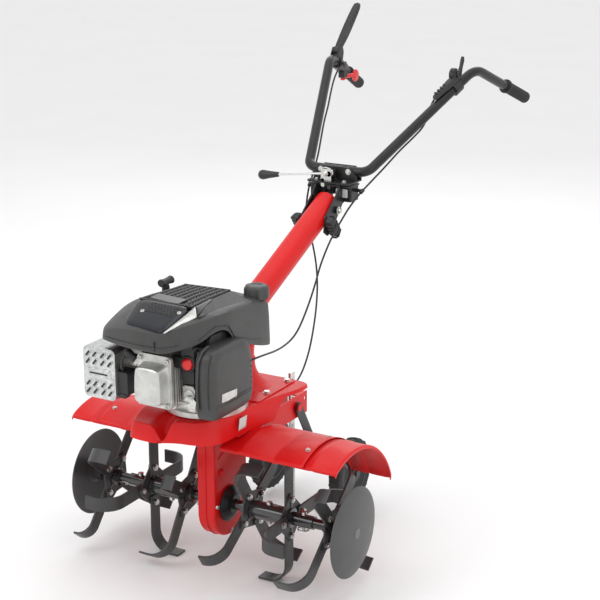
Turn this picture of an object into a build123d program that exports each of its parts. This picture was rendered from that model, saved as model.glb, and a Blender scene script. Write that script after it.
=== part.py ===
"""Motor tiller: worm-gear leg, tine rotor, belt drive, engine, column and swivelling handlebar.

Frame: millimetres, +Z up, -Y the way it travels, +X to the side of the air filter, and the
origin on the ground straight under the middle of the tine axle.
"""
import os
from math import cos, radians, sin, sqrt, tan

from build123d import *

# ---- driving dimensions -------------------------------------------------------------------
AXLE_Z = 172.0            # height of the tine axle
TINE_R = 172.0            # radius swept by the tine tips
AXLE_R = 12.5             # tine axle and outer hub shafts
DISC_X = 370.0            # centre plane of each end disc
DISC_R = 109.0
FLANGE_X = (91.0, 197.0, 312.0)          # tine flanges, mirrored on both sides
FLANGE_TURN = (32.0, 0.0, 40.0)          # how far each flange is turned about the axle
LEG_HALF = 25.0           # half thickness of the gear leg
LEG_FRONT, LEG_REAR, LEG_LOW = -62.0, 84.0, 86.0
WORM_Y = 48.5             # worm axis, behind the tine axle
CRANK_Y = -60.0           # engine crankshaft axis
DECK_Z = 437.0            # top of the chassis deck
SKIRT_DROP = 58.0         # depth of the deck's skirt
SHEET = 2.5               # pressed sheet thickness
ENGINE_Z = 449.0          # underside of the crankcase, on its base flange
HEAD_Z = 555.0            # height of the cylinder axis
COLUMN_Y = 103.0          # upright part of the column tube
COLUMN_R = 31.5
COLUMN_BEND_Z = 605.0     # where the upright and the sloping axes of the column cross
COLUMN_SLOPE = 25.0       # degrees above level
COLUMN_END_Y = 530.0
TILT_Y, TILT_Z = 512.0, 790.0            # head tilt bolt
CLAMP_Y, CLAMP_Z = 471.0, 757.0          # clamp knobs, on the same cheeks
SWIVEL_Y = 562.0          # upright axis that the handlebar swivels about
SADDLE_Z = 853.0          # underside of the swivel saddle
BAR_R = 12.75             # handlebar tube
WHEEL_X, WHEEL_Y, WHEEL_Z = 121.0, 440.0, 110.0
WHEEL_R = 92.0
CABLE_R = 2.5
RUN = 0.04                # radial clearance of running fits

os.makedirs("parts", exist_ok=True)


def save(part, name):
    """Label a finished sub-part and write it."""
    part.label = name
    export_step(part, f"parts/{name}.step")


def across(x=0.0, y=0.0, z=0.0):
    """Plane facing +X, drawn in (y, z) from its point."""
    return Plane(origin=(x, y, z), x_dir=(0, 1, 0), z_dir=(1, 0, 0))


def level(z=0.0, x=0.0, y=0.0):
    """Plane facing +Z, drawn in (x, y) from its point."""
    return Plane(origin=(x, y, z), x_dir=(1, 0, 0), z_dir=(0, 0, 1))


def frontal(y=0.0, x=0.0, z=0.0):
    """Plane facing -Y, drawn in (x, z) from its point."""
    return Plane(origin=(x, y, z), x_dir=(1, 0, 0), z_dir=(0, -1, 0))


def facing(point, direction, x_dir=None):
    """Plane at a point, facing a direction."""
    return Plane(origin=point, z_dir=direction, x_dir=x_dir)


def round_bar(plane, radius, start, end, mode=Mode.ADD):
    """Round solid along the plane's normal, from start to end."""
    with BuildSketch(plane.offset(start)) as profile:
        Circle(radius)
    extrude(profile.sketch, amount=end - start, mode=mode)


def tube(plane, outer, inner, start, end):
    """Hollow round solid along the plane's normal."""
    with BuildSketch(plane.offset(start)) as profile:
        Circle(outer)
        Circle(inner, mode=Mode.SUBTRACT)
    extrude(profile.sketch, amount=end - start)


def prism(plane, points, start, end, corner=0.0, mode=Mode.ADD):
    """Straight-sided solid between two offsets of a plane, with its corners rounded."""
    with BuildSketch(plane.offset(start)) as profile:
        Polygon(*points, align=None)
        if corner:
            fillet(profile.vertices(), corner)
    extrude(profile.sketch, amount=end - start, mode=mode)


def rectangle(low, high):
    """Corner points of a rectangle."""
    return [low, (high[0], low[1]), high, (low[0], high[1])]


def box(low, high, corner=0.0, mode=Mode.ADD):
    """Box between two corners with its upright edges rounded."""
    prism(level(low[2]), rectangle(low[:2], high[:2]), 0, high[2] - low[2], corner, mode)


def hex_bolt(plane, grip, size=8.0):
    """Flanged hex bolt with its nut; the plane faces out of the head, on the gripped face."""
    round_bar(plane, 1.02 * size, 0, 0.2 * size)
    with BuildSketch(plane) as head:
        RegularPolygon(0.94 * size, 6)
    extrude(head.sketch, amount=0.72 * size)
    round_bar(plane, size / 2, -grip - 1.1 * size, 0)
    with BuildSketch(plane.offset(-grip)) as nut:
        RegularPolygon(0.94 * size, 6)
    extrude(nut.sketch, amount=-0.75 * size)


def bolt_holes(planes, radius, depth):
    """Round holes through the active part, one for each plane, both ways from it."""
    for plane in planes:
        round_bar(plane, radius, -depth, depth, Mode.SUBTRACT)


def arc_points(centre, radius, start, end, steps):
    """Points on an arc in a sketch plane, in degrees."""
    turns = [radians(start + (end - start) * i / steps) for i in range(steps + 1)]
    return [(centre[0] + radius * cos(t), centre[1] + radius * sin(t)) for t in turns]


def bent_tube(points, radii, outer, inner=0.0):
    """Tube along straight runs joined by tangent arcs."""
    with BuildLine() as route:
        FilletPolyline(*points, radius=radii)
    start = Vector(*points[1]) - Vector(*points[0])
    with BuildSketch(Plane(origin=points[0], z_dir=start)) as profile:
        Circle(outer)
        if inner:
            Circle(inner, mode=Mode.SUBTRACT)
    sweep(profile.sketch, path=route.wires()[0])
    return route.wires()[0].length


def cord_radii(points):
    """Bend radius at each inner point: 0.45 of the shorter run over tan(half turn)."""
    radii = []
    for a, b, c in zip(points, points[1:], points[2:]):
        first, second = Vector(*b) - Vector(*a), Vector(*c) - Vector(*b)
        turn = first.get_angle(second)
        radii.append(0.45 * min(first.length, second.length) / tan(radians(turn) / 2))
    return radii


def cable_stop(end, neighbour, radius):
    """Round stop that a cable ends in, in line with its last run."""
    away = Vector(*end) - Vector(*neighbour)
    round_bar(facing(end, away), radius, 0, 12)


# ---- cable routes, from the levers to the head and from the head to the engine -------------
THROTTLE_UPPER = [(181, 857, 1076), (163, 838, 1056), (150, 816, 1020), (154, 782, 978),
                  (141, 738, 950), (125, 693, 923), (107, 645, 886), (91, 603, 856),
                  (81, 574, 836)]
THROTTLE_LOWER = [(77.5, 563.6, 828.9), (75, 514, 806), (74, 470, 777), (72, 430, 748),
                  (70, 400, 718), (69, 368, 680), (70, 341, 638), (72, 300, 590),
                  (75, 252, 549), (78, 212, 534), (82, 165, 530), (87, 115, 533),
                  (92, 65, 541), (93, 15, 546), (90, -40, 546), (87, -95, 542),
                  (84, -140, 536), (84, -172, 536)]
CLUTCH_UPPER = [(-206, 992, 1085), (-203, 960, 1078), (-193, 915, 1056), (-176, 866, 1027),
                (-157, 817, 997), (-140, 764, 966), (-120, 712, 932), (-101, 662, 896),
                (-88, 616, 862), (-77, 576, 838)]
CLUTCH_LOWER = [(-74, 565.4, 831.6), (-66, 541, 812), (-58, 519, 775), (-44, 510, 735),
                (-34, 514, 690), (-27, 520, 640), (-18, 512, 585), (-8, 488, 530),
                (0, 458, 478), (8, 422, 430), (18, 372, 394), (28, 318, 378), (36, 262, 374),
                (34, 212, 380), (12, 178, 392), (-20, 158, 402), (-40, 130, 404)]

# ---- rotor --------------------------------------------------------------------------------
AXLE = across(0, 0, AXLE_Z)
WHEEL_TEETH = 28
WHEEL_TIP_R, WHEEL_ROOT_R = 38.0, 33.5
HUB_BOLT_X, HITCH_X = 140.0, 233.0
SIDES = (-1, 1)

with BuildPart() as tine_axle:
    round_bar(AXLE, AXLE_R, -152, 152)
    round_bar(AXLE, 15.5, 11.5, 20.5)                  # shoulder beside the worm wheel
    bolt_holes([level(AXLE_Z, side * HUB_BOLT_X) for side in SIDES], 4.1, 20)
save(tine_axle.part, "tine_axle")

with BuildPart() as worm_wheel:
    with BuildSketch(AXLE.offset(-11)) as teeth:
        Circle(WHEEL_ROOT_R)
        with PolarLocations(WHEEL_ROOT_R - 1, WHEEL_TEETH):
            Trapezoid(7.0, 2 * (WHEEL_TIP_R - WHEEL_ROOT_R + 1), 78, rotation=-90)
        Circle(WHEEL_TIP_R, mode=Mode.INTERSECT)
    extrude(teeth.sketch, amount=22)
    round_bar(AXLE, AXLE_R, -11, 11, Mode.SUBTRACT)
save(worm_wheel.part, "worm_wheel")

with BuildPart() as inner_hubs:                        # stepped sockets, one on each side
    for side in SIDES:
        hub = facing((0, 0, AXLE_Z), (side, 0, 0))
        tube(hub, 22.0, AXLE_R, 72, 203)
        tube(hub, 16.0, AXLE_R, 203, 262)
        bolt_holes([level(AXLE_Z, side * HUB_BOLT_X), level(AXLE_Z, side * HITCH_X)], 4.1, 40)
save(inner_hubs.part, "inner_hubs")

with BuildPart() as outer_hubs:                        # shafts that slide into the inner hubs
    for side in SIDES:
        hub = facing((0, 0, AXLE_Z), (side, 0, 0))
        round_bar(hub, AXLE_R, 160, DISC_X + 6)
        round_bar(hub, 16.0, 290, 356)
        bolt_holes([level(AXLE_Z, side * HITCH_X)], 4.1, 20)
save(outer_hubs.part, "outer_hubs")

PLATE = 4.0               # flange plate thickness
STRAP, STRAP_WIDE = 5.0, 34.0
TINE_BOLT_R = 46.0
REACH = ((56.0, 80.0), (80.0, 80.0), (80.0, 44.0))     # sideways reach of inward, outward tines


def tine_plane(side, index, quarter):
    """Plane whose x axis runs out along a tine and whose y axis points away from the leg."""
    turn = radians(side * FLANGE_TURN[index] + 90 * quarter)
    out = Vector(0, cos(turn), sin(turn))
    away = Vector(side, 0, 0)
    return Plane(origin=(0, 0, AXLE_Z), x_dir=out, z_dir=out.cross(away))


def tine_way(index, quarter):
    """+1 for a tine that bends away from the leg, -1 for one that bends towards it."""
    return 1 if (quarter + index) % 2 else -1


def tine(side, index, quarter):
    """Flat strap, straight from the flange and then bent sideways."""
    way = tine_way(index, quarter)
    reach = REACH[index][0 if way < 0 else 1]
    bend = min(48.0, reach - 10)
    face = FLANGE_X[index] + way * (PLATE / 2 + STRAP / 2)
    end_r = TINE_R - STRAP / 2 - 1
    centre = Vector(end_r - bend, face + way * bend)
    tip = FLANGE_X[index] + way * reach
    half = STRAP / 2
    with BuildSketch(tine_plane(side, index, quarter)) as strap:
        with BuildLine():
            for radius in (bend + half, bend - half):
                flat = (centre.X, centre.Y - way * radius)
                turned = (centre.X + radius, centre.Y)
                middle = centre + Vector(radius, -way * radius) * sqrt(0.5)
                Line((27, flat[1]), flat)
                ThreePointArc(flat, middle, turned)
                Line(turned, (turned[0], tip))
            Line((27, face - half), (27, face + half))
            Line((end_r - half, tip), (end_r + half, tip))
        make_face()
    extrude(strap.sketch, amount=STRAP_WIDE / 2, both=True)


def tine_bolt_plane(side, index, quarter):
    """Plane of a tine bolt's head, on the outer face of its strap."""
    way = tine_way(index, quarter)
    turn = radians(side * FLANGE_TURN[index] + 90 * quarter)
    x = side * (FLANGE_X[index] + way * (PLATE / 2 + STRAP))
    y, z = TINE_BOLT_R * cos(turn), AXLE_Z + TINE_BOLT_R * sin(turn)
    return facing((x, y, z), (side * way, 0, 0))


with BuildPart() as tine_flanges:
    for side in SIDES:
        for index, x in enumerate(FLANGE_X):
            bore = 22.0 if index < 2 else 16.0
            plane = Plane(origin=(side * x, 0, AXLE_Z), z_dir=(1, 0, 0), x_dir=(0, 1, 0))
            turn = side * FLANGE_TURN[index]
            with BuildSketch(plane.offset(-PLATE / 2)) as plate:
                Rectangle(88, 88, rotation=turn + 45)
                Circle(61, mode=Mode.INTERSECT)
                Circle(bore, mode=Mode.SUBTRACT)
                with PolarLocations(TINE_BOLT_R, 4, start_angle=turn):
                    Circle(4.1, mode=Mode.SUBTRACT)
            extrude(plate.sketch, amount=PLATE)
save(tine_flanges.part, "tine_flanges")

with BuildPart() as tines:
    for side in SIDES:
        for index in range(3):
            for quarter in range(4):
                tine(side, index, quarter)
                bolt_holes([tine_bolt_plane(side, index, quarter)], 4.1, 12)
save(tines.part, "tines")

with BuildPart() as tine_bolts:
    for side in SIDES:
        for index in range(3):
            for quarter in range(4):
                hex_bolt(tine_bolt_plane(side, index, quarter), PLATE + STRAP)
save(tine_bolts.part, "tine_bolts")

with BuildPart() as hitch_pins:                        # hub bolts, and clip pins for the outer hubs
    for side in SIDES:
        hex_bolt(level(AXLE_Z + 22, side * HUB_BOLT_X), 44)
        round_bar(level(AXLE_Z, side * HITCH_X), 4.0, -27, 23)
        round_bar(level(AXLE_Z, side * HITCH_X), 7.0, 16.2, 23)
        with BuildSketch(level(AXLE_Z - 22, side * HITCH_X)) as ring:
            Circle(15)
            Circle(12.6, mode=Mode.SUBTRACT)
        extrude(ring.sketch, amount=2.4)
        with BuildSketch(level(AXLE_Z - 22, side * HITCH_X)) as bow:
            Rectangle(26, 2.4)
        extrude(bow.sketch, amount=2.4)
save(hitch_pins.part, "hitch_pins")

with BuildPart() as end_discs:                         # shallow dished discs that guard the row
    for side in SIDES:
        with BuildSketch(Plane.XY) as dish:
            with BuildLine():
                outline = [(AXLE_R, 0), (38, 0), (DISC_R - 2, -7), (DISC_R, -5), (DISC_R, -3)]
                Polyline(*outline, (38, 3), (AXLE_R, 3), close=True)
            make_face()
        turned = revolve(dish.sketch, axis=Axis.Y, mode=Mode.PRIVATE)
        place = Plane(origin=(side * DISC_X, 0, AXLE_Z), x_dir=(0, 0, side), z_dir=(0, 1, 0))
        add(turned.moved(place.location))
save(end_discs.part, "end_discs")

# ---- gear leg -----------------------------------------------------------------------------
LEG_WALL = 4.5
LEG_MID_Y = (LEG_FRONT + LEG_REAR) / 2
LEG_R = (LEG_REAR - LEG_FRONT) / 2
BEARING_R = 23.5
LEG_TOP = DECK_Z - 40
WORM_TOP_BEARING_Z = 340.0
WORM_LOW_BEARING_Z = 128.0


def leg_outline(inset, top):
    """Leg side view: straight sides over a round foot."""
    with BuildLine() as outline:
        low = (LEG_MID_Y - LEG_R + inset, LEG_LOW + LEG_R)
        high = (LEG_MID_Y + LEG_R - inset, LEG_LOW + LEG_R)
        Line((low[0], top), low)
        ThreePointArc(low, (LEG_MID_Y, LEG_LOW + inset), high)
        Line(high, (high[0], top))
        Line((high[0], top), (low[0], top))
    make_face(outline.edges())


BRACKET_BOLTS = [(-11, 300), (11, 300)]
CASE_BOLTS = [(-52, 360), (74, 360), (-52, 180), (74, 180), (LEG_MID_Y, 96)]
for side, name in ((-1, "gearcase_right"), (1, "gearcase_left")):
    with BuildPart() as half:
        with BuildSketch(across(0)) as outside:
            leg_outline(0, LEG_TOP)
        extrude(outside.sketch, amount=side * LEG_HALF)
        fillet(half.faces().sort_by(Axis.X)[-1 if side > 0 else 0].edges(), 6)
        with BuildSketch(across(0)) as inside:
            leg_outline(LEG_WALL, LEG_TOP - LEG_WALL)
        extrude(inside.sketch, amount=side * (LEG_HALF - LEG_WALL), mode=Mode.SUBTRACT)
        for y, z in CASE_BOLTS:                        # bosses for the case bolts
            round_bar(across(0, y, z), 7, 0, side * (LEG_HALF - LEG_WALL))
        round_bar(AXLE, BEARING_R, 0, side * 30, Mode.SUBTRACT)
        for y, z in CASE_BOLTS:
            round_bar(across(0, y, z), 3.1, 0, side * 30, Mode.SUBTRACT)
        for z in (WORM_TOP_BEARING_Z, WORM_LOW_BEARING_Z):          # seats of the two worm bearings
            seat = level(z - 8, 0, WORM_Y)
            with BuildSketch(seat) as web:
                with Locations((side * LEG_HALF / 2, 0)):
                    Rectangle(LEG_HALF - 2, 2 * (LEG_REAR - WORM_Y) - 6)
            extrude(web.sketch, amount=16)
            round_bar(seat, 19.0, -1, 17, Mode.SUBTRACT)
        round_bar(level(LEG_TOP - 10, 0, WORM_Y), 11, 0, 20, Mode.SUBTRACT)
        bolt_holes([facing((x, LEG_REAR, z), (0, 1, 0)) for x, z in BRACKET_BOLTS], 4.1, 8)
    save(half.part, name)

with BuildPart() as bearing_covers:                    # dished covers round the axle
    for side in SIDES:
        out = facing((0, 0, AXLE_Z), (side, 0, 0))
        with BuildSketch(Plane.XY) as cup:
            with BuildLine():
                rise = [(40, 25), (44, 27), (44, 31), (30, 41), (23, 44), (AXLE_R + RUN, 44)]
                Polyline((BEARING_R, 25), *rise, (AXLE_R + RUN, 35.5), (BEARING_R, 35.5), close=True)
            make_face()
        turned = revolve(cup.sketch, axis=Axis.Y, mode=Mode.PRIVATE)
        place = Plane(origin=(0, 0, AXLE_Z), x_dir=(0, 0, side), z_dir=(0, 1, 0))
        add(turned.moved(place.location))
save(bearing_covers.part, "bearing_covers")

with BuildPart() as bearings:                          # two on the tine axle, two on the worm
    for side in SIDES:
        tube(facing((0, 0, AXLE_Z), (side, 0, 0)), BEARING_R, AXLE_R + RUN, 21.5, 35.0)
    for z in (WORM_TOP_BEARING_Z, WORM_LOW_BEARING_Z):
        tube(level(z, 0, WORM_Y), 19.0, 8.5 + RUN, -6, 6)
save(bearings.part, "bearings")

with BuildPart() as worm_shaft:
    post = level(0, 0, WORM_Y)
    round_bar(post, 8.5, WORM_LOW_BEARING_Z - 7, LEG_TOP + 32)
    round_bar(post, 10.2, AXLE_Z - 34, AXLE_Z + 34)
    with BuildSketch(Plane.YZ) as grooves:             # thread seen in section, as rings
        for i in range(-4, 5):
            with Locations((WORM_Y - 10.2, AXLE_Z + 8.05 * i)):
                Rectangle(6.4, 4.6)
    thread = revolve(grooves.sketch, axis=Axis((0, WORM_Y, 0), (0, 0, 1)), mode=Mode.PRIVATE)
    add(thread, mode=Mode.SUBTRACT)
save(worm_shaft.part, "worm_shaft")

# ---- belt drive ---------------------------------------------------------------------------
BELT_Z = 411.0
DRIVEN_R, DRIVE_R = 55.0, 32.0
BELT_HALF = 5.0


def v_pulley(y, radius, bore):
    """Pulley with one V groove, about an upright axis."""
    with BuildSketch(Plane.XZ) as half_section:
        with BuildLine():
            grooved = [(radius, BELT_Z - 9), (radius, BELT_Z - 7), (radius - 9, BELT_Z - 3.5)]
            mirrored = [(r, 2 * BELT_Z - z) for r, z in reversed(grooved)]
            Polyline((bore, BELT_Z - 9), *grooved, *mirrored, (bore, BELT_Z + 9), close=True)
        make_face()
    turned = revolve(half_section.sketch, axis=Axis.Z, mode=Mode.PRIVATE)
    add(turned.moved(Location((0, y, 0))))


with BuildPart() as driven_pulley:
    v_pulley(WORM_Y, DRIVEN_R, 8.5)
save(driven_pulley.part, "driven_pulley")

with BuildPart() as drive_pulley:
    v_pulley(CRANK_Y, DRIVE_R, 11.0)
save(drive_pulley.part, "drive_pulley")

with BuildPart() as drive_belt:                        # hangs slack, just clear of both grooves
    for sign, grow in ((1, 1.5), (-1, -4.5)):
        with BuildSketch(level(BELT_Z - BELT_HALF + 2)) as loop:
            with Locations((0, WORM_Y)):
                Circle(DRIVEN_R + grow)
            with Locations((0, CRANK_Y)):
                Circle(DRIVE_R + grow)
            make_hull(loop.edges())
        extrude(loop.sketch, amount=6, mode=Mode.ADD if sign > 0 else Mode.SUBTRACT)
save(drive_belt.part, "drive_belt")

IDLER_PIVOT = (-86.0, 62.0)
IDLER = (-78.5, -28.0)
with BuildPart() as idler_arm:
    plate_z = BELT_Z + 10
    with BuildSketch(level(plate_z)) as arm:
        with Locations(IDLER_PIVOT, IDLER):
            Circle(9)
        make_hull(arm.edges())
        with Locations(IDLER_PIVOT):
            Circle(4 + RUN, mode=Mode.SUBTRACT)
    extrude(arm.sketch, amount=4)
    round_bar(level(plate_z, *IDLER), 5, -20, 0)
    round_bar(level(plate_z, *IDLER), 8, -22, -19.5)
save(idler_arm.part, "idler_arm")

with BuildPart() as idler_pulley:
    tube(level(BELT_Z, *IDLER), 15, 5 + RUN, -8, 8)
    tube(level(BELT_Z, *IDLER), 18, 14, -9, -7)
    tube(level(BELT_Z, *IDLER), 18, 14, 7, 9)
save(idler_pulley.part, "idler_pulley")

# ---- chassis ------------------------------------------------------------------------------
DECK_LINE = [(-120, -150), (-120, -190), (-50, -194), (-22, -180), (35, -168), (80, -125),
             (138, 138), (138, 200), (-138, 200), (-138, 138), (-104, -100)]
SKIRT_LINE = [(-113, -146), (-113, -184), (-50, -188), (-22, -174), (32, -161), (73, -121),
              (122, 112), (-122, 112), (-97, -98)]
FOOT_BOLTS = [(x, y) for x in (-88, 88) for y in (76, 172)]
ENGINE_BOLTS = [(x, y) for x in (-65.5, 65.5) for y in (-98, -6)]
FENDER_MOUNTS = [(-75, 0), (75, 0)]
SKIRT_Z = DECK_Z - SKIRT_DROP

with BuildPart() as chassis_hood:
    prism(level(DECK_Z - SHEET), DECK_LINE, 0, SHEET, 6)
    with BuildSketch(level(SKIRT_Z)) as skirt:
        Polygon(*SKIRT_LINE, align=None)
        fillet(skirt.vertices().filter_by_position(Axis.Y, -200, 100), 6)
        offset(amount=-SHEET, mode=Mode.SUBTRACT)
    extrude(skirt.sketch, amount=SKIRT_DROP)
    box((-100, 100, SKIRT_Z + SHEET), (100, 130, DECK_Z - SHEET), mode=Mode.SUBTRACT)
    box((-98, LEG_FRONT - 8, SKIRT_Z), (98, 92, SKIRT_Z + SHEET))
    box((-LEG_HALF, LEG_FRONT, SKIRT_Z), (LEG_HALF, LEG_REAR, SKIRT_Z + 4), mode=Mode.SUBTRACT)
    round_bar(level(DECK_Z, 0, CRANK_Y), 36, -6, 6, Mode.SUBTRACT)
    round_bar(level(0, *IDLER_PIVOT), 4, BELT_Z + 5, DECK_Z - SHEET)
    round_bar(level(0, *IDLER_PIVOT), 7, BELT_Z + 5, BELT_Z + 9.5)
    bolt_holes([level(DECK_Z, x, y) for x, y in FOOT_BOLTS], 4.1, 8)
    bolt_holes([level(DECK_Z, x, y) for x, y in ENGINE_BOLTS], 4.1, 8)
    bolt_holes([level(SKIRT_Z, x, y) for x, y in FENDER_MOUNTS], 4.1, 8)
    cable_stop(CLUTCH_LOWER[-1], CLUTCH_LOWER[-2], CABLE_R + 2.5)
    box((-50, 117, 404), (-30, 121, DECK_Z - 1))
save(chassis_hood.part, "chassis_hood")

FENDER_R = 204.0
FENDER_FRONT, FENDER_BACK = 119.0, 19.0
JOIN_X, FENDER_END = 262.0, 368.0


def fender(radius, start, end, side):
    """Arched sheet round the tine axle, from one distance off the middle to another."""
    line = arc_points((0, 0), radius, FENDER_FRONT, FENDER_BACK, 2)
    inner = arc_points((0, 0), radius - SHEET, FENDER_FRONT, FENDER_BACK, 2)
    with BuildSketch(AXLE.offset(side * start)) as arch:
        with BuildLine() as edge:
            ThreePointArc(*line)
            Line(line[2], inner[2])
            ThreePointArc(*inner)
            Line(inner[0], line[0])
        make_face(edge.edges())
    extrude(arch.sketch, amount=side * (end - start))


def fender_bolt_planes(side):
    """Heads of the two bolts that join a fender to its extension."""
    planes = []
    for turn in (103, 76):
        out = Vector(0, cos(radians(turn)), sin(radians(turn)))
        point = Vector(side * (JOIN_X + 9), 0, AXLE_Z) + out * (FENDER_R + SHEET)
        planes.append(facing(point, out, (1, 0, 0)))
    return planes


with BuildPart() as inner_fenders:
    for side in SIDES:
        fender(FENDER_R + SHEET, 62, JOIN_X + 24, side)
        bolt_holes(fender_bolt_planes(side), 3.1, 8)
    bolt_holes([level(SKIRT_Z, x, y) for x, y in FENDER_MOUNTS], 4.1, 8)
save(inner_fenders.part, "inner_fenders")

with BuildPart() as outer_fenders:
    for side in SIDES:
        fender(FENDER_R, JOIN_X, FENDER_END, side)
        bolt_holes(fender_bolt_planes(side), 3.1, 8)
save(outer_fenders.part, "outer_fenders")

FOOT_PLATE = 3.0
with BuildPart() as column_foot:
    prism(level(DECK_Z), rectangle((-102, 14), (102, 192)), 0, FOOT_PLATE, 10)
    with BuildSketch(Plane.XZ) as flare:
        with BuildLine():
            foot_z = DECK_Z + FOOT_PLATE
            ThreePointArc((COLUMN_R + 3, 508), (COLUMN_R + 11, 466), (COLUMN_R + 45, foot_z))
            Line((COLUMN_R + 45, foot_z), (COLUMN_R + 38, foot_z))
            ThreePointArc((COLUMN_R + 38, foot_z), (COLUMN_R + 8, 464), (COLUMN_R, 504))
            Line((COLUMN_R, 504), (COLUMN_R, 508))
            Line((COLUMN_R, 508), (COLUMN_R + 3, 508))
        make_face()
    turned = revolve(flare.sketch, axis=Axis.Z, mode=Mode.PRIVATE)
    add(turned.moved(Location((0, COLUMN_Y, 0))))
    round_bar(level(DECK_Z, 0, COLUMN_Y), COLUMN_R, -1, 90, Mode.SUBTRACT)
    bolt_holes([level(DECK_Z, x, y) for x, y in FOOT_BOLTS], 4.1, 8)
save(column_foot.part, "column_foot")

COLUMN_TOP_Z = COLUMN_BEND_Z + (COLUMN_END_Y - COLUMN_Y) * tan(radians(COLUMN_SLOPE))
COLUMN_LINE = [(0, COLUMN_Y, DECK_Z), (0, COLUMN_Y, COLUMN_BEND_Z), (0, COLUMN_END_Y, COLUMN_TOP_Z)]
with BuildPart() as column_tube:
    bent_tube(COLUMN_LINE, [150], COLUMN_R, COLUMN_R - 2.5)
    round_bar(across(0, TILT_Y, TILT_Z), 6 + RUN, -40, 40, Mode.SUBTRACT)
    round_bar(across(0, CLAMP_Y, CLAMP_Z), 5 + RUN, -40, 40, Mode.SUBTRACT)
save(column_tube.part, "column_tube")

SPUR_Y = 345.0
SPUR_WIDE, SPUR_THICK = 22.0, 6.0
BRACKET_LOW, BRACKET_HIGH, BRACKET_END = 285.0, 343.0, 372.0
SWING_Y, SWING_Z = 318.0, 314.0           # pivot of the transport wheel frame
with BuildPart() as rear_bracket:
    for side in SIDES:                                 # channel sides, bolted to the leg
        box((side * 28.5 - 1.5, LEG_REAR, BRACKET_LOW), (side * 28.5 + 1.5, BRACKET_END, BRACKET_HIGH))
    box((-30, LEG_REAR, BRACKET_LOW), (30, LEG_REAR + 3, BRACKET_HIGH))
    box((-30, SPUR_Y - 20, BRACKET_LOW), (30, SPUR_Y + 20, BRACKET_LOW + 3))
    box((-30, SPUR_Y - 20, BRACKET_HIGH - 3), (30, SPUR_Y + 20, BRACKET_HIGH))
    slot = ((-SPUR_THICK / 2 - 0.3, SPUR_Y - SPUR_WIDE / 2 - 0.3, BRACKET_LOW - 1),
            (SPUR_THICK / 2 + 0.3, SPUR_Y + SPUR_WIDE / 2 + 0.3, BRACKET_HIGH + 1))
    box(*slot, mode=Mode.SUBTRACT)
    for side in SIDES:                                 # pins that the wheel frame swings on
        out = facing((0, SWING_Y, SWING_Z), (side, 0, 0))
        round_bar(out, 6, 29, 38.5)
        round_bar(out, 10, 38.5, 41)
    bolt_holes([across(0, 362, 325)], 5.0, 40)
    bolt_holes([facing((x, LEG_REAR, z), (0, 1, 0)) for x, z in BRACKET_BOLTS], 4.1, 8)
save(rear_bracket.part, "rear_bracket")

with BuildPart() as depth_spur:
    outline = [(SPUR_Y - 11, 395), (SPUR_Y - 11, 30), (SPUR_Y - 4, 0), (SPUR_Y + 4, 0),
               (SPUR_Y + 11, 30), (SPUR_Y + 11, 395)]
    prism(across(-SPUR_THICK / 2), outline, 0, SPUR_THICK)
    bolt_holes([across(0, SPUR_Y, 375 - 25 * i) for i in range(10)], 3.5, 8)
save(depth_spur.part, "depth_spur")

ARM_X = 34.0
with BuildPart() as wheel_frame:
    for side in SIDES:
        plane = facing((side * ARM_X, 0, 0), (side, 0, 0), (0, 1, 0))
        flip = side                                    # the sketch's z runs with the side
        with BuildSketch(plane) as arm:
            with Locations((SWING_Y, flip * SWING_Z), (WHEEL_Y, flip * WHEEL_Z)):
                Circle(14)
            make_hull(arm.edges())
            with Locations((SWING_Y, flip * SWING_Z)):
                Circle(6 + RUN, mode=Mode.SUBTRACT)
            with Locations((WHEEL_Y, flip * WHEEL_Z)):
                Circle(8, mode=Mode.SUBTRACT)
        extrude(arm.sketch, amount=4)
    tube(across(0, WHEEL_Y, WHEEL_Z), 12, 8.5, -ARM_X, ARM_X)
save(wheel_frame.part, "wheel_frame")

WHEEL = across(0, WHEEL_Y, WHEEL_Z)
with BuildPart() as wheel_rims:                        # moulded rims pinned on one turning axle
    round_bar(WHEEL, 8 - RUN, -145, 145)
    for side in SIDES:
        wheel = facing((side * WHEEL_X, WHEEL_Y, WHEEL_Z), (side, 0, 0))
        round_bar(wheel, 22, -20, 20)
        tube(wheel, 66, 60, -15, 15)
        with BuildSketch(wheel.offset(-3)) as web:
            Circle(61)
            with PolarLocations(41, 5):
                Circle(12, mode=Mode.SUBTRACT)
        extrude(web.sketch, amount=6)
save(wheel_rims.part, "wheel_rims")

with BuildPart() as wheel_tyres:
    with BuildSketch(Plane.XY) as tread:
        with BuildLine():
            flank = [(66, 14), (74, 18), (WHEEL_R - 8, 18), (WHEEL_R, 12)]
            Polyline(*flank, *[(r, -w) for r, w in reversed(flank)], close=True)
        make_face()
    ring = revolve(tread.sketch, axis=Axis.Y, mode=Mode.PRIVATE)
    for side in SIDES:
        place = Plane(origin=(side * WHEEL_X, WHEEL_Y, WHEEL_Z), x_dir=(0, 0, 1), z_dir=(0, 1, 0))
        add(ring.moved(place.location))
save(wheel_tyres.part, "wheel_tyres")

# ---- engine -------------------------------------------------------------------------------
CRANK_R = 11.0
BASE_R, BASE_Y = 98.0, -52.0               # flange that the engine stands on
COVER_X = 6.0             # middle of the valve cover
FLYWHEEL_Z = 606.0
SHROUD_LOW, SHROUD_HIGH, GRILLE_HIGH = 604.0, 690.0, 712.0

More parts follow.
